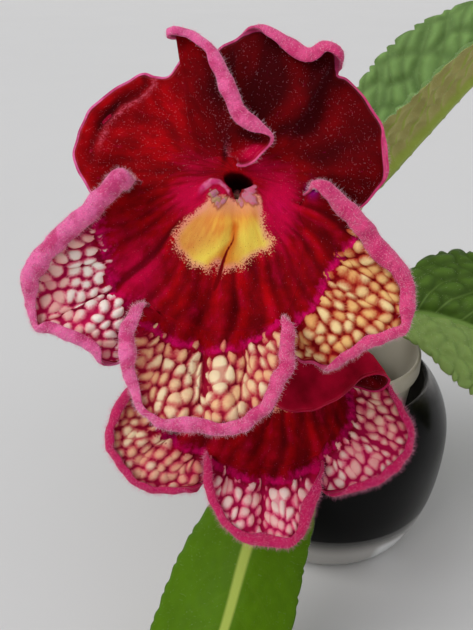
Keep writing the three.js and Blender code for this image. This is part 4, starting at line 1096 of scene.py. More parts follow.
def pebble_marks(rng, form, name, points, rim, face_rows, look):
    """Marks of the pebbles on the face of one lobe"""
    width = look.pebble_width / MM
    line = form["pebbles"][name]
    low, high = points[..., :2].min((0, 1)), points[..., :2].max((0, 1))
    seeds = scatter(rng, low, high, width, lambda a, b: line_distance(line, a, b) < 3.5, PEBBLE_CENTRE,
                    look.pebble_stretch)
    x, y = points[:face_rows + 1, :, 0], points[:face_rows + 1, :, 1]
    zone = -line_distance(line, x, y)
    # towards the left margin of the lower lobe they are flat bars across it
    bars = (ease(-16.5, -19, x) * (name == "lower")).ravel()
    long = mix(mix(1.65, look.pebble_stretch, ease(0, 6, zone)).ravel(), 2.0, bars)
    middle = (PEBBLE_CENTRE[0] + 0 * bars, mix(PEBBLE_CENTRE[1], y.ravel(), bars))
    group = pairs_of(rng, seeds, 1.5 * width, 0.4, form["swells"])
    wander = [0.32 * lumps(rng, zone.shape, (5, 5)) for _ in range(2)]
    near, wall, crease, far = cells(seeds, x + wander[0], y + wander[1], middle, long, 3.4, group)
    size = width * rng.uniform(0.78, 1.05, len(seeds))
    wall = -np.log(np.exp(-5 * wall) + np.exp(-5 * (size[near] - far))) / 5
    wall += mix(0.1, 0.2, form["warm"][name] ** 2)
    for split in form["splits"]:
        wall -= 0.7 * ridge(split, x, y, 0.55).ravel()
    grown = ease(-1.2, 0.8, -line_distance(line, *seeds.T) + rng.uniform(-0.8, 0.8, len(seeds)))[near]
    wall = np.where(grown > 0.2, wall - 0.5 * (1 - grown), -1).reshape(zone.shape)
    wall -= 0.08 * ease(-4.0, -1.2, rim[:face_rows + 1])
    tone = rng.random(len(seeds))
    tone[[k for k in np.unique(group) if (group == k).sum() > 3]] = 0.95
    tone = tone[group][near].reshape(zone.shape)
    if name == form["white"]:
        tone = mix(0.15 + 0.6 * tone, 1, ease(10, 4, zone) * ease(-10, -17, y))
    marks = {
        "pebble": wall, "crease": crease.reshape(zone.shape), "tone": tone, "zone": ease(-0.5, 2.0, zone),
    }
    hem = (len(points) - face_rows - 1, points.shape[1])
    return {key: np.vstack([value, np.full(hem, MARKS[key])]) for key, value in marks.items()}


def throat_grid(form, ring, knots):
    """Tube and disc round the mouth, with a column at each knot of the notch ring"""
    at = ring.at_knot(knots)
    a = np.arctan2(at[:, 1], at[:, 0])
    lip = np.interp(np.degrees(a) % 360, *zip(*MOUTH))
    mouth = np.stack([lip * np.cos(a), lip * np.sin(a), 0 * a - 1.0], 1)
    spine = Path([(r, 0, -d) for d, r in TUBE], fine=4).points
    throat = np.stack([np.stack([r * np.cos(a), 0.92 * r * np.sin(a), 0 * a + z], 1) for r, _, z in spine])
    # the last ring of the tube leans to the mouth's outline
    throat[-1, :, :2] = mix(throat[-1, :, :2], mouth[:, :2], 0.6)
    s = np.linspace(0, 1, 34)[:-1, None, None]
    disc = mouth[None] * (1 - s) + at[None] * s
    x, y = disc[..., 0], disc[..., 1]
    disc[..., 2] += (palate_relief(form, x, y) + throat_relief(x, y)) * ease(-0.05, 0.2, s[..., 0])
    disc[..., 2] += bloom_relief(form, x, y) * ease(0.3, 1, s[..., 0])
    return np.concatenate([throat, disc])


class Skin:
    """Grids of points gathered in one numbering, with their marks"""

    def __init__(self):
        self.blocks = []
        self.marks = {key: [] for key in MARKS}
        self.count = 0

    def put(self, points, **values):
        """Adds a grid and returns its point numbers"""
        shape, size = points.shape[:-1], points[..., 0].size
        self.blocks.append(points.reshape(-1, 3))
        for key, start in MARKS.items():
            self.marks[key].append(np.broadcast_to(np.asarray(values.get(key, start), float), shape).ravel())
        self.count += size
        return np.arange(self.count - size, self.count).reshape(shape)

    def gathered(self):
        return np.vstack(self.blocks), {key: np.concatenate(value) for key, value in self.marks.items()}


def front_faces(lobes, inner, tip):
    """Faces of the front of a bloom: tube, disc, the joints at the notch ring and the lobes"""
    front = [cap(inner[0], tip)[:, ::-1], grid_faces(inner, wrap=True)[:, ::-1]]
    at_lobe = 0
    for k, (grid, _) in enumerate(lobes):
        coarse = inner[-1][at_lobe:at_lobe + len(grid[0][::COARSE])]
        front.append(fan(grid[0], coarse)[:, ::-1])
        at_lobe += len(coarse)
        after, other = inner[-1][at_lobe % len(inner[-1])], lobes[(k + 1) % len(lobes)][0][0]
        front.append(np.array([[coarse[-1], grid[0][-1], other[0], after]]))
    return front + [grid_faces(grid)[:, ::-1] for grid, _ in lobes]


def back_faces(lobes, inner, front):
    """Faces of the back, coarser than the front except on the hems, and the lines that walls stand on, each
    with whether its walls face the other way"""
    ring = np.concatenate([grid[0][::COARSE] for grid, _ in lobes])
    back = [front[0][:, ::-1], front[1][:, ::-1], grid_faces(np.stack([inner[-1], ring]), wrap=True)]
    walls = []
    for grid, face_rows in lobes:
        coarse = grid[:face_rows - COARSE + 1:COARSE, ::COARSE]
        back += [grid_faces(coarse), fan(grid[face_rows], coarse[-1]), grid_faces(grid[face_rows:])]
        walls.append((grid[-1], False))
        for column, flipped in ((grid[:, 0], True), (grid[:, -1], False)):
            walls += [(column[:face_rows + 1], flipped), (column[face_rows:], flipped)]
    for (grid, _), (other, _) in zip(lobes, [*lobes[1:], lobes[0]]):
        walls.append((np.array([grid[0][-1], other[0][0]]), False))
    return back, walls


def wall_faces(walls, to_back):
    """Triangles between lines of the front and the points that the back has of them"""
    sides = []
    for line, flipped in walls:
        behind = to_back[line]
        kept = np.flatnonzero(behind >= 0)
        for i, j in zip(kept, kept[1:]):
            first, *loop = *line[i:j + 1], behind[j], behind[i]
            part = [[first, a, b] for a, b in zip(loop, loop[1:])]
            sides += [[a, c, b] for a, b, c in reversed(part)] if flipped else part
    return np.array(sides)


def by_lobe(lobe, names, values, other):
    """Each lobe's value by its number, and the other where there is no lobe"""
    return np.select([lobe == k for k in range(len(names))], [values.get(name, 0) for name in names], other)


def paint_marks(number, form, names, points, m):
    """Marks that the petal's material reads, for the points of the front"""
    x, y, _ = points.T
    lobe = m["lobe"]
    radius = np.hypot(x, y - PATCH_CENTRE_Y)
    # painted shade: a set share of deep red near the throat, and further out each lobe's own painted shade
    painted_shade = mix(0.3, by_lobe(lobe, names, form["painted_shade"], 0.35), ease(10, 20, radius))
    # painted shade in the troughs of the ribs and painted light on their ridges, less on the upper right lobe
    folds = np.where(lobe == UPPER_RIGHT, 0.5, 0.9) * ribs(x, y) * ease(0.3, -1.5, m["rim"])
    painted_shade = np.clip(painted_shade - folds, 0, 1)
    fuzz = np.zeros(len(x))
    if form["crease"]:
        left = lobe == UPPER_LEFT
        d = line_distance(form["crease"], x, y)
        up = ease(2, 8, y) * ease(-10, -14, x) * left
        # painted shade in the trough beside the crease and painted light beyond it, and the upper left lobe
        # painted darker towards its middle and top
        painted_shade = np.clip(painted_shade + up * (0.65 * np.exp(-(((d + 1.9) / 1.2) ** 2)) - 0.5 * ease(-3, -4.5, d)), 0, 1)
        painted_shade = np.clip(painted_shade + left * (0.35 * ease(-14, -2, x) * ease(4, 12, y) + 0.1), 0, 1)
        fuzz = up * np.exp(-((d / 0.4) ** 2)) * ease(7, 11, y)
        fuzz = fuzz + left * ridge(FLAP, x, y, 0.4) * ease(9.5, 7, y)
    # painted shade in soft clouds, and painted light where the amount is below 0
    for cx, cy, wide, tall, lean, much in form["painted_shades"]:
        c, s = math.cos(math.radians(lean)), math.sin(math.radians(lean))
        p, q = (x - cx) * c - (y - cy) * s, (x - cx) * s + (y - cy) * c
        painted_shade = painted_shade + much * hill(p, q, 0, 0, wide, tall) * (lobe <= UPPER_LEFT)
    # painted crimson light round the throat, more below it, and on the small flap over the mouth
    glow = sum(much * hill(x, y, *spot) for *spot, much in GLOWS)
    glow = glow + 0.35 * np.exp(-((radius / 13) ** 4)) * ease(3, -3, y) + 0.22 * ease(0, -8, y)
    glow = glow + 0.9 * hill(x, y, *UPPER_GLOW) * (lobe == UPPER_LEFT)
    warm = by_lobe(lobe, names, form["warm"], 0.5) + form["tilt"] * (y + 20) / 30
    flush = np.zeros(len(x))
    for k, name in enumerate(names):
        if name in form["pebbles"]:
            here = lobe == k
            d = line_distance(form["pebbles"][name], x[here], y[here]) - 0.3
            wide = (2.8 if name == "left" else 1.7) if number == 1 else 2.3
            flush[here] = np.exp(-((d / np.where(d > 0, wide, 0.6)) ** 2))
    for spot in FLUSHES:
        flush = np.maximum(flush, 0.95 * hill(x, y, *spot))
    seam = np.abs(line_distance(SLIT, x, y)) / (0.14 + 0.36 * ease(-11.5, -18.5, y))
    ray = np.stack([np.arctan2(x, -(y - RIB_CENTRE_Y)) * 9, radius * 0.16, lobe * 3], 1)
    return {
        "place": points, "ray": ray, "warm": np.clip(warm, 0, 1), "fuzz": fuzz, "seam": seam,
        "patch": inside(PATCH, x, y), "painted_shade": np.clip(painted_shade, 0, 1), "flush": np.clip(flush, 0, 1),
        "glow": np.clip(glow, 0, 1), "knobs": np.clip(knobs(x, y), 0, 1),
        "arch": ridge(ARCH, x, y, mix(1.0, 0.42, ease(-8, -2, x))) * ease(-10.2, -6, x),
        "violet": 0.9 * hill(x, y, 16.2, -1.4, 0.9, 1.5) * (number == 1),
        **{key: m[key] for key in ("rim", "pink", "blush", "pebble", "crease", "tone", "zone")},
    }


def corolla(number, look):
    """Points, faces and marks of one bloom, and the roots of its down"""
    form = BLOOMS[number]
    rng = np.random.default_rng(look.seed + number)
    edges = lobe_rows(form["lobes"])
    names = list(edges)
    ring = Path([rows[0][:3] for rows in edges.values()], closed=True)
    slit = GAPE / (ring.length / len(names))
    fine = look.fineness / MM * form["detail"]

    skin, lobes, knots = Skin(), [], []
    for k, (name, rows) in enumerate(edges.items()):
        stony = name in form["pebbles"]
        gap = fine if stony else 1.9 * fine
        columns = COARSE * max(8, round(Path([r[:3] for r in rows]).length / gap / COARSE)) + 1
        face_rows = COARSE * round(27 / (1.75 * gap) / COARSE)
        hood = form["hoods"].get(name, (0, 0, 0))
        points, values = lobe_grid(form, rows, ring, k + slit, k + 1 - slit, columns, face_rows, hood, rng)
        knots.append(mix(k + slit, k + 1 - slit, np.linspace(0, 1, columns))[::COARSE])
        rim = values["rim"]
        nap = 0.1 * lumps(rng, rim.shape, (3.4, 4.2)) + 0.07 * lumps(rng, rim.shape, (1.8, 1.8))
        if stony:
            values.update(pebble_marks(rng, form, name, points, rim, face_rows, look))
        lobes.append((skin.put(points, lobe=k, nap=nap * ease(-0.4, 0.4, rim), **values), face_rows))
    inner = skin.put(throat_grid(form, ring, np.concatenate(knots)))
    tip = skin.put(np.array([[0, 0, -TUBE_DEPTH - 0.4]]))[0]
    points, m = skin.gathered()
    # the notch ring rises with the palate
    for grid, _ in lobes:
        x, y, _ = points[grid[0]].T
        points[grid[0], 2] += palate_relief(form, x, y)

    front = front_faces(lobes, inner, tip)
    normals = even_out(point_normals(points, front), front, 3)
    back, walls = back_faces(lobes, inner, front)
    used = np.unique(np.concatenate([f.ravel() for f in back]))
    to_back = np.full(len(points), -1)
    to_back[used] = len(points) + np.arange(len(used))
    faces = front + [to_back[f] for f in back] + [wall_faces(walls, to_back)]

    swollen = np.clip((m["pebble"] - 0.03) / 0.85, 0, 1)
    puff = np.sqrt(swollen * (2 - swollen)) * (0.7 + 0.7 * m["tone"])
    puff = puff * (1 - 0.45 * np.exp(-((m["crease"] / 0.3) ** 2))) * ease(0.2, -1.2, m["rim"])
    puff = puff * mix(1.0, 0.55, ease(-5, -1.5, m["rim"])) * (look.pebble_height / MM)
    thick = look.thickness / MM * (1 - 0.6 * m["thin"])
    top = points + normals * (thick / 2 + puff + 0.5 * m["nap"])[:, None]
    under = points[used] - normals[used] * (thick / 2 + m["nap"])[used][:, None]
    marks = {key: np.concatenate([value, value[used]])
             for key, value in paint_marks(number, form, names, points, m).items()}
    marks["reverse"] = np.concatenate([np.zeros(len(points)), np.ones(len(used))])
    roots = {"back": (under, -normals[used], m["rim"][used], m["lobe"][used]),
             "front": (top, normals, m["rim"], m["lobe"])}
    return np.vstack([top, under]), faces, marks, roots


# Leaves, stalks and pistils
LEAF_ROWS, LEAF_HALF = 210, 30
# Rays from a point far below the crown run along a leaf
FAR_BELOW = np.array([-900.0, 0.0])
STALK_BENDS = {1: [(-4, -2, 92), (-12, -10, 116), (-22, -22, 134)], 2: [(0, -9, 80), (-6, -17, 88)]}


def leaf_frame(spine, face, t):
    """Places along the midrib, and the directions across the blade and up from it"""
    at, way = spine.at(t), spine.way(t)
    low, middle, high = (np.array(f, float) for f in face)
    t = t[:, None]
    up = np.where(t < 0.35, mix(low, middle, t / 0.35), mix(middle, high, (t - 0.35) / 0.65))
    up = unit(up - way * (up * way).sum(1, keepdims=True))
    return at, np.cross(way, up), up


def leaf_widths(form, t, s, a):
    """Distance from the midrib for each place, with a rounded tip and a toothed margin"""
    start = form["start"]
    out = np.maximum(0, (t - start) / (1.06 - start))
    shape = np.sin(math.pi * out ** form["full"]) ** 0.62 * ease(start - 0.04, start + 0.32, t)
    tip = np.sqrt(np.clip(1 - (np.maximum(0, t - 0.92) / 0.08) ** 2, 0, 1))
    shape = shape * tip
    w = np.maximum(1.3 * tip[:, None] + 0.15, np.where(s < 0, *form["half"]) * shape[:, None]) * np.abs(s)
    beat = a / 4.4 + 0.2 * np.sin(a * 0.7) + np.where(s < 0, 0, 0.4)
    tooth = np.sin(math.pi * (beat - np.floor(beat)) ** 0.6) ** 0.7
    return w * (1 + form["teeth"] * ease(0.1, 0.3, t)[:, None] * (tooth * ease(0.8, 1, np.abs(s))))


def leaf(name, look):
    """Points, faces and marks of one leaf with its quilted blade, and roots and ways for its fringe"""
    form = LEAVES[name]
    rng = np.random.default_rng(look.seed + len(name))
    fx, fy = STEMS[name]
    foot = [(fx, fy, SOIL_TOP - STEM_DEPTH + GAP + 0.3), (fx, fy, SOIL_TOP - 2)]
    spine = Path([*foot, (fx * 1.05, fy * 1.05, SOIL_TOP + 4), *form["path"]])
    t = np.linspace(0, 1, LEAF_ROWS + 1)
    at, across, up = leaf_frame(spine, form["face"], t)
    blade = ease(0.1, 0.3, t)[:, None]
    s = np.linspace(-1, 1, 2 * LEAF_HALF + 1)[None]
    s = np.sign(s) * np.abs(s) ** 0.92
    a = (t * spine.length)[:, None] + 0 * s
    w = leaf_widths(form, t, s, a)
    lift = np.where(s < 0, *(mix(p, q, t)[:, None] for p, q in form["lift"]))
    turn = np.radians(blade * (lift + form["curl"] * np.abs(s)))
    ripple = blade * form["wave"] * np.abs(s) * np.sin(t[:, None] * 19 + np.where(s < 0, 1.3, 0))
    points = at[:, None] + across[:, None] * (np.sign(s) * w * np.cos(turn))[..., None]
    points = points + up[:, None] * (w * np.sin(turn) + ripple)[..., None]
    # side veins run out and forward; small cells lie between them
    apart = look.vein_spacing / MM
    side = np.where(s < 0, 0, 1)
    phase = (a - 0.62 * w - 0.012 * w**2 + side * 0.45 * apart) / apart + 0.12 * np.sin(a * 0.31) + 40
    share = phase - np.floor(phase)
    vein = np.minimum(share, 1 - share) * apart * 0.8
    size = apart * form.get("cells", 0.42)
    seeds = scatter(rng, (0, -40), (spine.length, 40), size, lambda p, q: p > 0, FAR_BELOW, 1.25, 5200)
    wall = cells(seeds, a, np.sign(s) * w, FAR_BELOW, 1.25, soft=4)[1].reshape(w.shape)
    puff = 0.4 * np.sin(math.pi * share) ** 1.5 * ease(1, 5, w) + 0.6 * ease(-0.1 * size, 0.42 * size, wall)
    puff = puff * ease(0.6, 3.5, w) - 0.9 * np.exp(-((w / 1.6) ** 2))
    height = form["quilt"] * puff * blade * (1 - ease(0.93, 1, np.abs(s)))
    index = np.arange(points[..., 0].size).reshape(w.shape)
    flat = points.reshape(-1, 3)
    top = grid_faces(index)
    normals = even_out(point_normals(flat, [top]), [top], 2)
    flat = flat + normals * height.reshape(-1, 1)
    midrib = 1.7 * np.exp(-((w / 1.5) ** 2)) * (1 - 0.75 * t[:, None])
    thick = mix(2.6 * np.sqrt(1 - 0.985 * s**2), look.thickness / MM * np.sqrt(1 - 0.8 * s**6), blade)
    ridges = 0.12 * form["quilt"] * np.exp(-((vein / 0.5) ** 2)) * blade * ease(1, 0.8, np.abs(s))
    upper = flat + normals * (thick.reshape(-1, 1) / 2)
    lower = flat - normals * (thick / 2 + midrib * blade).reshape(-1, 1)
    lower -= normals * ridges.reshape(-1, 1)
    count = len(flat)
    rim = border(index)
    walls = np.stack([rim, np.roll(rim, -1), np.roll(rim, -1) + count, rim + count], 1)
    marks = {
        "place": np.stack([a, np.sign(s) * w, 0 * a + len(name)], -1).reshape(-1, 3), "phase": phase,
        "net": wall / size * 3.2, "across": w, "blade": blade + 0 * s,
        "rib": form.get("rib", 1) * (1.7 - 1.2 * t[:, None]) + 0 * s,
        # painted light on the half of the blade that faces the light
        "pale": form.get("pale", 0) * ease(0, 1.2, np.sign(s) * w),
    }
    marks = {key: np.concatenate([value.reshape(count, -1).squeeze()] * 2) for key, value in marks.items()}
    marks["reverse"] = np.repeat([0.0, 1.0], count)
    picked = rng.choice(count, 2400)
    edge = rng.choice(np.concatenate([index[40:, 0], index[40:, -1]]), 2000)
    outward = unit(flat[edge] - flat[index[:, LEAF_HALF]][edge // w.shape[1]])
    roots = np.vstack([upper[picked], lower[picked], flat[edge]])
    ways = np.vstack([normals[picked], -normals[picked], outward])
    return np.vstack([upper, lower]), [top, top[:, ::-1] + count, walls], marks, roots, ways


def sepal(turn):
    """One narrow sepal of the calyx, in the bloom's own frame"""
    curve = [(1.2, -3.4), (1.9, -1.6), (3.4, 0.8), (4.3, 3), (5.3, 6), (6.4, 9), (7, 11)]
    share = np.linspace(0, 1, 22)
    at = Path([(r, 0, z - TUBE_DEPTH) for r, z in curve]).at(share)
    wide = np.radians(35) * (1 - ease(0.35, 1, share)) + 0.02
    s = np.linspace(-1, 1, 9)
    a = turn + wide[:, None] * s
    r = at[:, :1] - 0.35 * (1 - s**2) * ease(0.3, 0.8, share)[:, None]
    middle = np.stack([r * np.cos(a), r * np.sin(a), at[:, 2:] + 0 * a], -1)
    out = np.stack([np.cos(a), np.sin(a), 0 * a - 0.5], -1)
    thick = 0.4 * np.sqrt(1 - 0.9 * s**2)[:, None]
    points = np.vstack([(middle + out * thick).reshape(-1, 3), (middle - out * thick).reshape(-1, 3)])
    count = a.size
    index = np.arange(count).reshape(a.shape)
    rim = border(index)
    walls = np.stack([np.roll(rim, -1), rim, rim + count, np.roll(rim, -1) + count], 1)
    return points, [grid_faces(index)[:, ::-1], grid_faces(index) + count, walls]


def flower_stalk(number):
    x, y = STEMS[f"flower_stalk_{number}"]
    place = bloom_matrix(number)
    behind, neck = (tuple(place @ Vector((0, 0, -TUBE_DEPTH - d))) for d in (11, 2.6))
    path = [(x, y, SOIL_TOP - STEM_DEPTH + GAP), (x, y, SOIL_TOP + 4), *STALK_BENDS[number], behind, neck]
    stem = tube(path, lambda t: mix(1.9, 1.15, t) + 0.05 * math.sin(t * 60), steps=90, sides=18)
    cup = tube([(0, 0, -TUBE_DEPTH - d) for d in (4, 2.5, 0.8)], lambda t: 1.1 + 0.9 * t, steps=8, sides=20)
    sepals = [moved(sepal(TURN * k / 5 + 0.5), place) for k in range(5)]
    return joined([stem, moved(cup, place), *sepals])


def pistil(number, rng):
    """Style with its stigma, and the pair of stamens with their joined anthers"""
    base = 1.8 - TUBE_DEPTH
    knots = [(0, 0.7), (0.2, 1.0), (0.5, 0.62), (0.86, 0.5), (0.93, 0.95), (1, 0.6)]
    style = tube([(0, 0, base), (0, 0.2, -18), (0.2, 0.2, -12), (0.3, -0.6, -8)],
                 lambda t: float(np.interp(t, *zip(*knots))), steps=40, sides=14)
    parts = [style, ball((0.3, -0.7, -8), (0.7, 0.5, 0.45), rng)]
    for way in (-1, 1):
        path = [(way * 1.2, -1.2, base + 3), (way * 2.0, -1.6, -12), (way * 1.9, -0.9, -9),
                (way * 0.6, -1.1, -7.6)]
        parts.append(tube(path, lambda t: 0.34, steps=30, sides=8))
        parts.append(ball((way * 0.55, -1.2, -7.5), (0.85, 0.65, 0.55), rng))
    return moved(joined(parts), bloom_matrix(number))


# Settings
class BloomSettings(PropertyGroup):
    """Sizes and colours of the blooms"""
    thickness: FloatProperty(name="Petal thickness", description="Thickness of a petal", default=0.00065,
                             unit="LENGTH")
    fineness: FloatProperty(name="Fineness", description="Distance between points of the pebbled lobes",
                            default=0.00039, unit="LENGTH")
    pebble_width: FloatProperty(name="Pebble width", description="Usual width of a pebble", default=0.0017,
                                unit="LENGTH")
    pebble_stretch: FloatProperty(name="Pebble stretch", description="Length of a pebble over its width",
                                  default=1.3)
    pebble_height: FloatProperty(name="Pebble height", description="How far a pebble stands out of the net",
                                 default=0.001, unit="LENGTH")
    down_length: FloatProperty(name="Down length", description="Usual length of the hairs on the hems",
                               default=0.0009, unit="LENGTH")
    seed: IntProperty(name="Seed", description="Start of the pebbles' scatter", default=11)
    red: FloatVectorProperty(name="Red", description="Velvet red of the upper lobes", subtype="COLOR",
                             default=srgb(190, 1, 12))
    # deep red is also the colour of the painted shade on the petals
    deep_red: FloatVectorProperty(name="Deep red", description="Red in the folds", subtype="COLOR",
                                  default=srgb(64, 0, 4))
    magenta: FloatVectorProperty(name="Magenta", description="Flush beside the throat", subtype="COLOR",
                                 default=srgb(218, 6, 106))
    back_red: FloatVectorProperty(name="Back", description="Back of a lobe", subtype="COLOR",
                                  default=srgb(150, 8, 44))
    pink_left: FloatVectorProperty(name="Hem, left", description="Rolled hem towards the left",
                                   subtype="COLOR", default=srgb(240, 112, 170))
    pink_right: FloatVectorProperty(name="Hem, right", description="Rolled hem towards the right",
                                    subtype="COLOR", default=srgb(226, 78, 132))
    pebble_left: FloatVectorProperty(name="Pebbles, left", description="Pebbles towards the left",
                                     subtype="COLOR", default=srgb(252, 198, 190))
    pebble_right: FloatVectorProperty(name="Pebbles, right", description="Pebbles towards the right",
                                      subtype="COLOR", default=srgb(244, 200, 128))
    yellow: FloatVectorProperty(name="Yellow", description="Patch under the throat", subtype="COLOR",
                                default=srgb(248, 198, 78))
    orange: FloatVectorProperty(name="Orange", description="Streaks of the patch", subtype="COLOR",
                                default=srgb(228, 128, 52))


class LeafSettings(PropertyGroup):
    """Sizes and colours of the leaves"""
    thickness: FloatProperty(name="Blade thickness", description="Thickness of a blade", default=0.0009,
                             unit="LENGTH")
    vein_spacing: FloatProperty(name="Vein spacing", description="Distance between side veins",
                                default=0.0075, unit="LENGTH")
    seed: IntProperty(name="Seed", description="Start of the small cells' scatter", default=5)
    bright: FloatVectorProperty(name="Bright green", description="Young leaf in front", subtype="COLOR",
                                default=srgb(74, 110, 1))
    dark: FloatVectorProperty(name="Dark green", description="Older leaf at the right", subtype="COLOR",
                              default=srgb(82, 112, 40))
    upper: FloatVectorProperty(name="Upper green", description="Upper side of the tall leaf",
                               subtype="COLOR", default=srgb(118, 150, 84))
    olive: FloatVectorProperty(name="Olive", description="Underside of the tall leaf", subtype="COLOR",
                               default=srgb(176, 170, 106))
    vein: FloatVectorProperty(name="Veins", description="Midribs and veins", subtype="COLOR",
                              default=srgb(160, 176, 78))
    stalk_green: FloatVectorProperty(name="Stalks", description="Stalks of leaves and blooms",
                                     subtype="COLOR", default=srgb(120, 122, 62))


class PotSettings(PropertyGroup):
    """Colours of the jar, the growing pot and the soil"""
    sides: IntProperty(name="Sides", description="Facets round the jar and the growing pot", default=160,
                       min=24)
    smoke: FloatVectorProperty(name="Smoked glass", description="Tint of the jar's body", subtype="COLOR",
                               default=srgb(24, 23, 20))
    plastic: FloatVectorProperty(name="Plastic", description="Growing pot", subtype="COLOR",
                                 default=srgb(166, 158, 139))
    soil: FloatVectorProperty(name="Soil", description="Potting soil", subtype="COLOR",
                              default=srgb(50, 38, 30))


class StageSettings(PropertyGroup):
    """Floor and lights"""
    floor: FloatVectorProperty(name="Floor", description="Pale floor", subtype="COLOR",
                               default=srgb(214, 213, 212))
    key: FloatProperty(name="Key light", description="Strength of the soft light at the left", default=1.8)
    fill: FloatProperty(name="Fill light", description="Strength of the light at the right", default=0.3)
    sky: FloatProperty(name="Room light", description="Strength of the light from all round", default=0.52)


# Pieces
def bloom_down(number, look, roots):
    """Points and faces of the down on the hems, thinly over the back, and on the face of the upper lobes"""
    hem_hairs = (10000, 6500)[number - 1]
    back_hairs, face_hairs = 2000, 2600
    rng = np.random.default_rng(look.seed + 20 + number)
    at, ways, rim, lobe = roots["back"]
    # the folded lobe in front of the lower bloom is all but bare
    hairy = (lobe != UPPER_RIGHT) | (number == 1)
    on_hem = even_picks(rng, at, hairy & (rim > -0.4), hem_hairs, 0.3)
    on_back = even_picks(rng, at, hairy & (rim > -25) & (rim < -0.5), back_hairs, 0.8)
    top, aim, rim, lobe = roots["front"]
    upper = (lobe >= UPPER_RIGHT) & (lobe <= UPPER_LEFT) & (rim < -1)
    on_face = even_picks(rng, top, upper, face_hairs, 0.8)
    drift = rng.normal(size=(face_hairs, 3)) * 0.3
    drift -= aim[on_face] * (drift * aim[on_face]).sum(1, keepdims=True)
    origin = np.vstack([at[on_hem], at[on_back], top[on_face] + drift])
    way = np.vstack([ways[on_hem], ways[on_back], aim[on_face]])
    way = unit(way + rng.normal(size=way.shape) * 0.45)
    shares = [(1.15, 1.6)[number - 1], 0.7, 0.27]
    long = look.down_length / MM * np.repeat(shares, [hem_hairs, back_hairs, face_hairs])
    return hairs(rng, origin, way, long, width=0.027)


class PRIMROSE_OT_blooms(Operator):
    """Makes both corollas with their pebbles, rolled hems and down"""
    bl_idname = "primrose.blooms"
    bl_label = "Blooms"

    def execute(self, context):
        look = context.scene.primrose_bloom
        red, pale = srgb(255, 60, 110), srgb(255, 206, 226)
        kinds = {1: (0.0, 0.45, srgb(255, 206, 220)), 2: (0.92, 0.2, srgb(246, 150, 184))}
        for number, (deep, hem_sheen, tint) in kinds.items():
            points, faces, marks, roots = corolla(number, look)
            place = bloom_matrix(number)
            piece = face_out(make_mesh(f"petals_{number}", points, faces, marks, place))
            face = petal_material(f"petal_{number}", look, deep, 0.05, red)
            place_piece(piece, face, f"corolla_{number}")
            piece.data.materials.append(petal_material(f"petal_hem_{number}", look, deep, hem_sheen, pale))
            hem = np.concatenate([marks["rim"][f].mean(1) > -0.2 for f in faces])
            piece.data.polygons.foreach_set("material_index", hem.astype(np.int32))
            down = bloom_down(number, look, roots)
            hair = hair_material(f"petal_down_{number}", tint, specular=0.3)
            place_piece(make_mesh(f"petal_down_{number}", *down, place=place), hair)
        return {"FINISHED"}


class PRIMROSE_OT_pistils(Operator):
    """Makes the pistils with their stamens"""
    bl_idname = "primrose.pistils"
    bl_label = "Pistils"

    def execute(self, context):
        material = plain_material("pistil", srgb(206, 120, 122), rough=0.5, scale=0.9, amount=0.5, far=0.15,
                                  sheen=0.1, second=srgb(176, 150, 104))[0]
        for number in (1, 2):
            body = pistil(number, np.random.default_rng(30 + number))
            place_piece(make_mesh(f"style_{number}", *body), material, f"pistil_{number}")
        return {"FINISHED"}


class PRIMROSE_OT_stalks(Operator):
    """Makes the flower stalks with their calyces"""
    bl_idname = "primrose.stalks"
    bl_label = "Flower stalks"

    def execute(self, context):
        look = context.scene.primrose_leaf
        material = plain_material("stalk", look.stalk_green, rough=0.55, scale=0.8, amount=0.6, far=0.2,
                                  sheen=0.3, second=srgb(118, 66, 48))[0]
        down = hair_material("stalk_down", srgb(222, 222, 196))
        count = 1800
        for number in (1, 2):
            points, faces = flower_stalk(number)
            piece = face_out(make_mesh(f"stem_{number}", points, faces))
            place_piece(piece, material, f"flower_stalk_{number}")
            rng = np.random.default_rng(40 + number)
            picked = rng.choice(len(points), count)
            ways = unit(point_normals(points, faces)[picked] + rng.normal(size=(count, 3)) * 0.2)
            fuzz = hairs(rng, points[picked], ways, np.full(count, 1.1), width=0.03)
            place_piece(make_mesh(f"stem_down_{number}", *fuzz), down)
        return {"FINISHED"}


class PRIMROSE_OT_leaves(Operator):
    """Makes the five leaves with veins, quilting and fringe"""
    bl_idname = "primrose.leaves"
    bl_label = "Leaves"

    def execute(self, context):
        look = context.scene.primrose_leaf

        # the darker copies are the painted shade in the sunken veins and cell nets
        def darker(colour, share):
            return tuple(v * share for v in colour)

        materials = {
            "leaf_right": leaf_material("leaf_dark", look, look.dark, darker(look.dark, 0.42),
                                        srgb(120, 150, 74), lines=0.8, coat=0.05, hollow_shade=0.75),
            "leaf_upright": leaf_material("leaf_tall", look, look.upper, darker(look.upper, 0.4), look.vein,
                                          lines=0.12, coat=0.0, hollow_shade=0.6),
            "leaf_front": leaf_material("leaf_young", look, look.bright, darker(look.bright, 0.7), look.vein,
                                        lines=0.04, coat=0.02, hollow_shade=0.1),
        }
        green = leaf_material("leaf_green", look, srgb(84, 128, 46), srgb(48, 84, 28), look.vein, lines=0.8,
                              coat=0.05, hollow_shade=0.6)
        down = hair_material("leaf_down", srgb(226, 232, 205))
        for name in LEAVES:
            points, faces, marks, roots, ways = leaf(name, look)
            label = name.removeprefix("leaf_")
            piece = face_out(make_mesh(f"blade_{label}", points, faces, marks))
            place_piece(piece, materials.get(name, green), name)
            rng = np.random.default_rng(50 + len(name))
            ways = unit(ways + rng.normal(size=ways.shape) * 0.25)
            long = np.full(len(roots), 0.45 if name == "leaf_front" else 0.7)
            fuzz = make_mesh(f"blade_down_{label}", *hairs(rng, roots, ways, long, width=0.024))
            place_piece(fuzz, down)
        return {"FINISHED"}


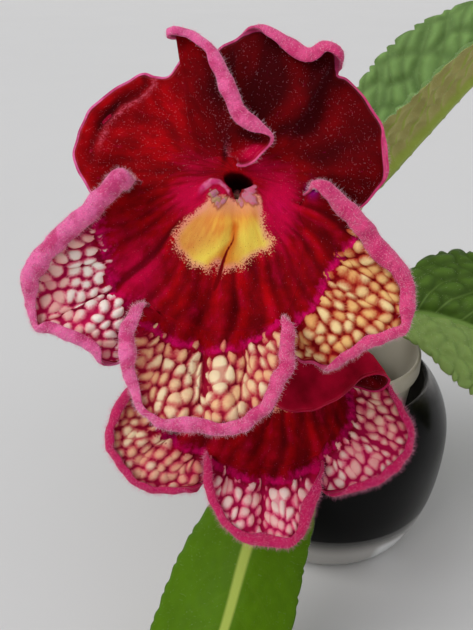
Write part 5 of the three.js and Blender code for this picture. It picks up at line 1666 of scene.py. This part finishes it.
class PRIMROSE_OT_jar(Operator):
    """Makes the smoked jar with its thick clear base"""
    bl_idname = "primrose.jar"
    bl_label = "Jar"

    def glass(self, name, smoke, rough, clear, ior):
        material, t, shader = new_material(name, rough)
        shader.inputs["Transmission Weight"].default_value = clear
        shader.inputs["IOR"].default_value = ior
        x, y, z = t.parts(t.add("TexCoord").outputs["Object"])
        # painted reflection of a window: a bright spot low at the front right of the thick foot
        turn = t.math("ABSOLUTE", t.math("ADD", t.math("ARCTAN2", y, x), 1.0))
        belt = t.times(t.step(z, 0.0005, 0.002), t.step(z, 0.0145, 0.0105))
        spot = t.times(t.step(turn, 0.22, 0.1), belt)
        # the smoke thins out towards the rim and the foot; the pale grey of the foot, which lets little light
        # through, is painted light for the light that the clear base lets through
        thin = t.math("MAXIMUM", t.step(z, 0.058, 0.065), t.step(z, 0.02, 0.01))
        colour = t.blend(thin, smoke, srgb(194, 190, 185))
        t.give(shader.inputs["Base Color"], t.blend(spot, colour, srgb(255, 255, 255)))
        return material

    def execute(self, context):
        look = context.scene.primrose_pot
        bend = [
            (29, 0), (31.2, 0.9), (34.5, 5.5), (38.3, 15), (41, 27), (42, JAR_BELLY_Z), (40.6, 52.5),
            (37.3, 60), (34.3, 64), (33, 65), (31.9, 64), (35.2, 59), (38.2, 52), (39.6, JAR_BELLY_Z),
            (38.5, 27), (35.6, 15.4), (31.5, JAR_FLOOR + 0.8), (27, JAR_FLOOR),
        ]
        profile = np.vstack([(0, 0), (14, 0), rounded(bend, 8), (13, JAR_FLOOR), (0, JAR_FLOOR)])
        profile[:, 1] = np.maximum(profile[:, 1], 0)
        piece = face_out(make_mesh("jar", *turned(profile, look.sides)))
        body = self.glass("smoked_glass", look.smoke, rough=0.22, clear=1.0, ior=1.19)
        foot = self.glass("clear_glass", look.smoke, rough=0.12, clear=0.28, ior=1.48)
        place_piece(piece, body, "glass_jar")
        piece.data.materials.append(foot)
        for face in piece.data.polygons:
            outer = face.center[0] * face.normal[0] + face.center[1] * face.normal[1] > 0
            face.material_index = int(face.center[2] < 0.001 or (outer and face.center[2] < 0.02))
        return {"FINISHED"}


class PRIMROSE_OT_growing_pot(Operator):
    """Makes the plastic growing pot with its rim band and drain holes"""
    bl_idname = "primrose.growing_pot"
    bl_label = "Growing pot"

    def execute(self, context):
        look = context.scene.primrose_pot
        under = POT_TOP - POT_BAND
        profile = [
            (0, 1), (18, 1), (19, 0), (20.7, 0), (21, 0.3), (24.6, under / 2), (28.15, under - 0.2),
            (28.2, under), (29.4, under), (29.75, under + 0.3), (30, under + 1), (30, POT_TOP - 0.8),
            (29.8, POT_TOP - 0.2), (29.4, POT_TOP), (29, POT_TOP), (28.75, POT_TOP - 0.25),
            (28.6, POT_TOP - 1), (27.9, under), (23.7, under / 2), (19.9, 2.6), (19.6, POT_FLOOR),
            (0, POT_FLOOR),
        ]
        points, faces = turned(profile, look.sides)
        piece = face_out(make_mesh("growing_pot", points + (0, 0, POT_Z), faces))
        cutters = []
        for k in range(6):
            x, y = 11 * math.cos(k * math.pi / 3), 11 * math.sin(k * math.pi / 3)
            cutters.append(tube([(x, y, POT_Z + z) for z in (-2, 1, 5)], lambda t: 2.6, steps=4, sides=24))
        tool = face_out(make_mesh("drains", *joined(cutters)))
        cut = piece.modifiers.new("drain holes", "BOOLEAN")
        cut.object, cut.solver = tool, "EXACT"
        mesh = bpy.data.meshes.new_from_object(piece.evaluated_get(context.evaluated_depsgraph_get()))
        piece.modifiers.clear()
        piece.data = mesh
        bpy.data.objects.remove(tool)
        material, t, shader, colour, place = plain_material(
            "pot_plastic", look.plastic, rough=0.5, scale=0.35, amount=0.22, far=0.05, specular=0.4)
        # painted light: the wall inside is lighter towards the top, where the light falls on it
        x, y, z = t.parts(place)
        radius = t.math("SQRT", t.math("MULTIPLY_ADD", x, x, t.times(y, y)))
        painted_light_inside = t.times(t.step(radius, 29.3, 28.8), t.step(z, 52.0, 60.0, 0.0, 0.7))
        t.give(shader.inputs["Base Color"], t.blend(painted_light_inside, colour, srgb(218, 211, 194)))
        place_piece(piece, material, "nursery_pot")
        return {"FINISHED"}


class PRIMROSE_OT_soil(Operator):
    """Makes the potting soil with its crumbs"""
    bl_idname = "primrose.soil"
    bl_label = "Soil"

    def execute(self, context):
        look = context.scene.primrose_pot
        rng = np.random.default_rng(70)
        brim, foot, floor = 27.7 - GAP, POT_FOOT - POT_WALL - GAP, POT_Z + POT_FLOOR + GAP
        sides, rings = 150, 60
        a = angles(sides)
        d = (np.linspace(0.02, 1, rings) * brim)[:, None]
        x, y = d * np.cos(a), d * np.sin(a)

        def sunk(x, y):
            """How far the soil has sunk, towards the right and away from the stems"""
            return SOIL_SINK * ease(10, 22, 0.95 * x + 0.3 * y)

        z = SOIL_TOP + 0.7 * np.sin(d * 0.9 + 3 * a) * np.cos(d * 0.45 - 5 * a) - 0.8 * (d / brim) ** 3
        z = z + 0.25 * rng.normal(size=z.shape) * (d < brim * 0.99) - sunk(x, y)
        for sx, sy in STEMS.values():
            z = z - 1.2 * np.exp(-(np.hypot(x - sx, y - sy) / (STEM_HOLE + 0.3)) ** 4)
        top = np.stack([x, y, z], -1).reshape(-1, 3)
        low = np.stack([foot * np.cos(a), foot * np.sin(a), 0 * a + floor], -1)
        points = np.vstack([top, low, (0, 0, floor), (0, 0, z[0].mean())])
        index = np.arange(len(top) + sides).reshape(rings + 1, sides)
        caps = [cap(index[-1], len(points) - 2)[:, [1, 0, 2]], cap(index[0], len(points) - 1)]
        parts = [(points, [grid_faces(index, wrap=True), np.vstack(caps)])]
        for _ in range(260):
            r, turn = brim * 0.96 * math.sqrt(rng.random()), rng.random() * TURN
            px, py = r * math.cos(turn), r * math.sin(turn)
            if min(math.hypot(px - sx, py - sy) for sx, sy in STEMS.values()) > 4:
                size = rng.uniform(0.35, 1.3, 3) * (1, 1, 0.6)
                centre = (px, py, SOIL_TOP - 0.3 - sunk(px, py))
                parts.append(ball(centre, size, rng, 0.16, 2 if size.max() > 0.8 else 1))
        material = plain_material("soil", look.soil, rough=0.95, scale=1.1, amount=1.1, far=0.5,
                                  second=srgb(92, 70, 50))[0]
        place_piece(make_mesh("soil", *joined(parts)), material, "potting_soil")
        return {"FINISHED"}


class PRIMROSE_OT_stage(Operator):
    """Makes the floor with its backdrop, the lights and the camera"""
    bl_idname = "primrose.stage"
    bl_label = "Stage"

    def execute(self, context):
        look = context.scene.primrose_stage
        sweep = [(-2600, 0, 0), (0, 0, 0), (3600, 0, 0), (4300, 0, 260), (4500, 0, 1200), (4500, 0, 2600)]
        line = Path(sweep, fine=10).points
        line[:, 2] = np.maximum(line[:, 2], 0)
        x = np.linspace(-4500, 4500, 24)[None]
        grid = np.stack([x + 0 * line[:, :1], line[:, :1] + 0 * x, line[:, 2:] + 0 * x], -1)
        index = np.arange(grid[..., 0].size).reshape(grid.shape[:2])
        floor = make_mesh("floor", grid.reshape(-1, 3), [grid_faces(index)])
        paint = plain_material("floor", look.floor, rough=0.75, scale=0.004, amount=0.05, far=0.02,
                               specular=0.25)[0]
        floor.data.materials.append(paint)
        for name, at, softness, power in (("key", (-0.62, -0.38, 0.78), 50, look.key),
                                          ("fill", (0.7, -0.5, 0.5), 70, look.fill)):
            light = bpy.data.lights.new(name, "SUN")
            light.energy, light.angle = power, math.radians(softness)
            lamp = bpy.data.objects.new(name, light)
            lamp.location = at
            lamp.rotation_euler = (-Vector(at)).to_track_quat("-Z", "Y").to_euler()
            context.collection.objects.link(lamp)
        world = bpy.data.worlds.new("room")
        world.use_nodes = True
        background = world.node_tree.nodes["Background"]
        background.inputs["Color"].default_value = (*srgb(238, 240, 244), 1)
        background.inputs["Strength"].default_value = look.sky
        context.scene.world = world
        context.scene.view_settings.view_transform = "Standard"
        camera = bpy.data.objects.new("camera", bpy.data.cameras.new("camera"))
        camera.data.lens = 42.0
        camera.location = (-0.0345, -0.226, 0.201)
        camera.rotation_euler = (math.radians(90 - PITCH), 0, 0)
        context.collection.objects.link(camera)
        context.scene.camera = camera
        return {"FINISHED"}


class PRIMROSE_PT_panel(Panel):
    """Lists the pieces of the potted cape primrose"""
    bl_idname = "PRIMROSE_PT_panel"
    bl_label = "Potted Cape Primrose"
    bl_space_type = "VIEW_3D"
    bl_region_type = "UI"
    bl_category = "Primrose"

    def draw(self, context):
        for operator in OPERATORS:
            self.layout.operator(operator.bl_idname)


OPERATORS = (
    PRIMROSE_OT_jar, PRIMROSE_OT_growing_pot, PRIMROSE_OT_soil, PRIMROSE_OT_leaves, PRIMROSE_OT_stalks,
    PRIMROSE_OT_pistils, PRIMROSE_OT_blooms, PRIMROSE_OT_stage,
)
SETTINGS = {
    "primrose_bloom": BloomSettings, "primrose_leaf": LeafSettings, "primrose_pot": PotSettings,
    "primrose_stage": StageSettings,
}


def register():
    for cls in (*SETTINGS.values(), *OPERATORS, PRIMROSE_PT_panel):
        bpy.utils.register_class(cls)
    for name, cls in SETTINGS.items():
        setattr(bpy.types.Scene, name, PointerProperty(type=cls))


def unregister():
    for name in SETTINGS:
        delattr(bpy.types.Scene, name)
    for cls in (PRIMROSE_PT_panel, *reversed(OPERATORS), *reversed(SETTINGS.values())):
        bpy.utils.unregister_class(cls)


def main():
    register()
    build_groups()
    for operator in OPERATORS:
        group, name = operator.bl_idname.split(".")
        getattr(getattr(bpy.ops, group), name)()


if __name__ == "__main__":
    main()
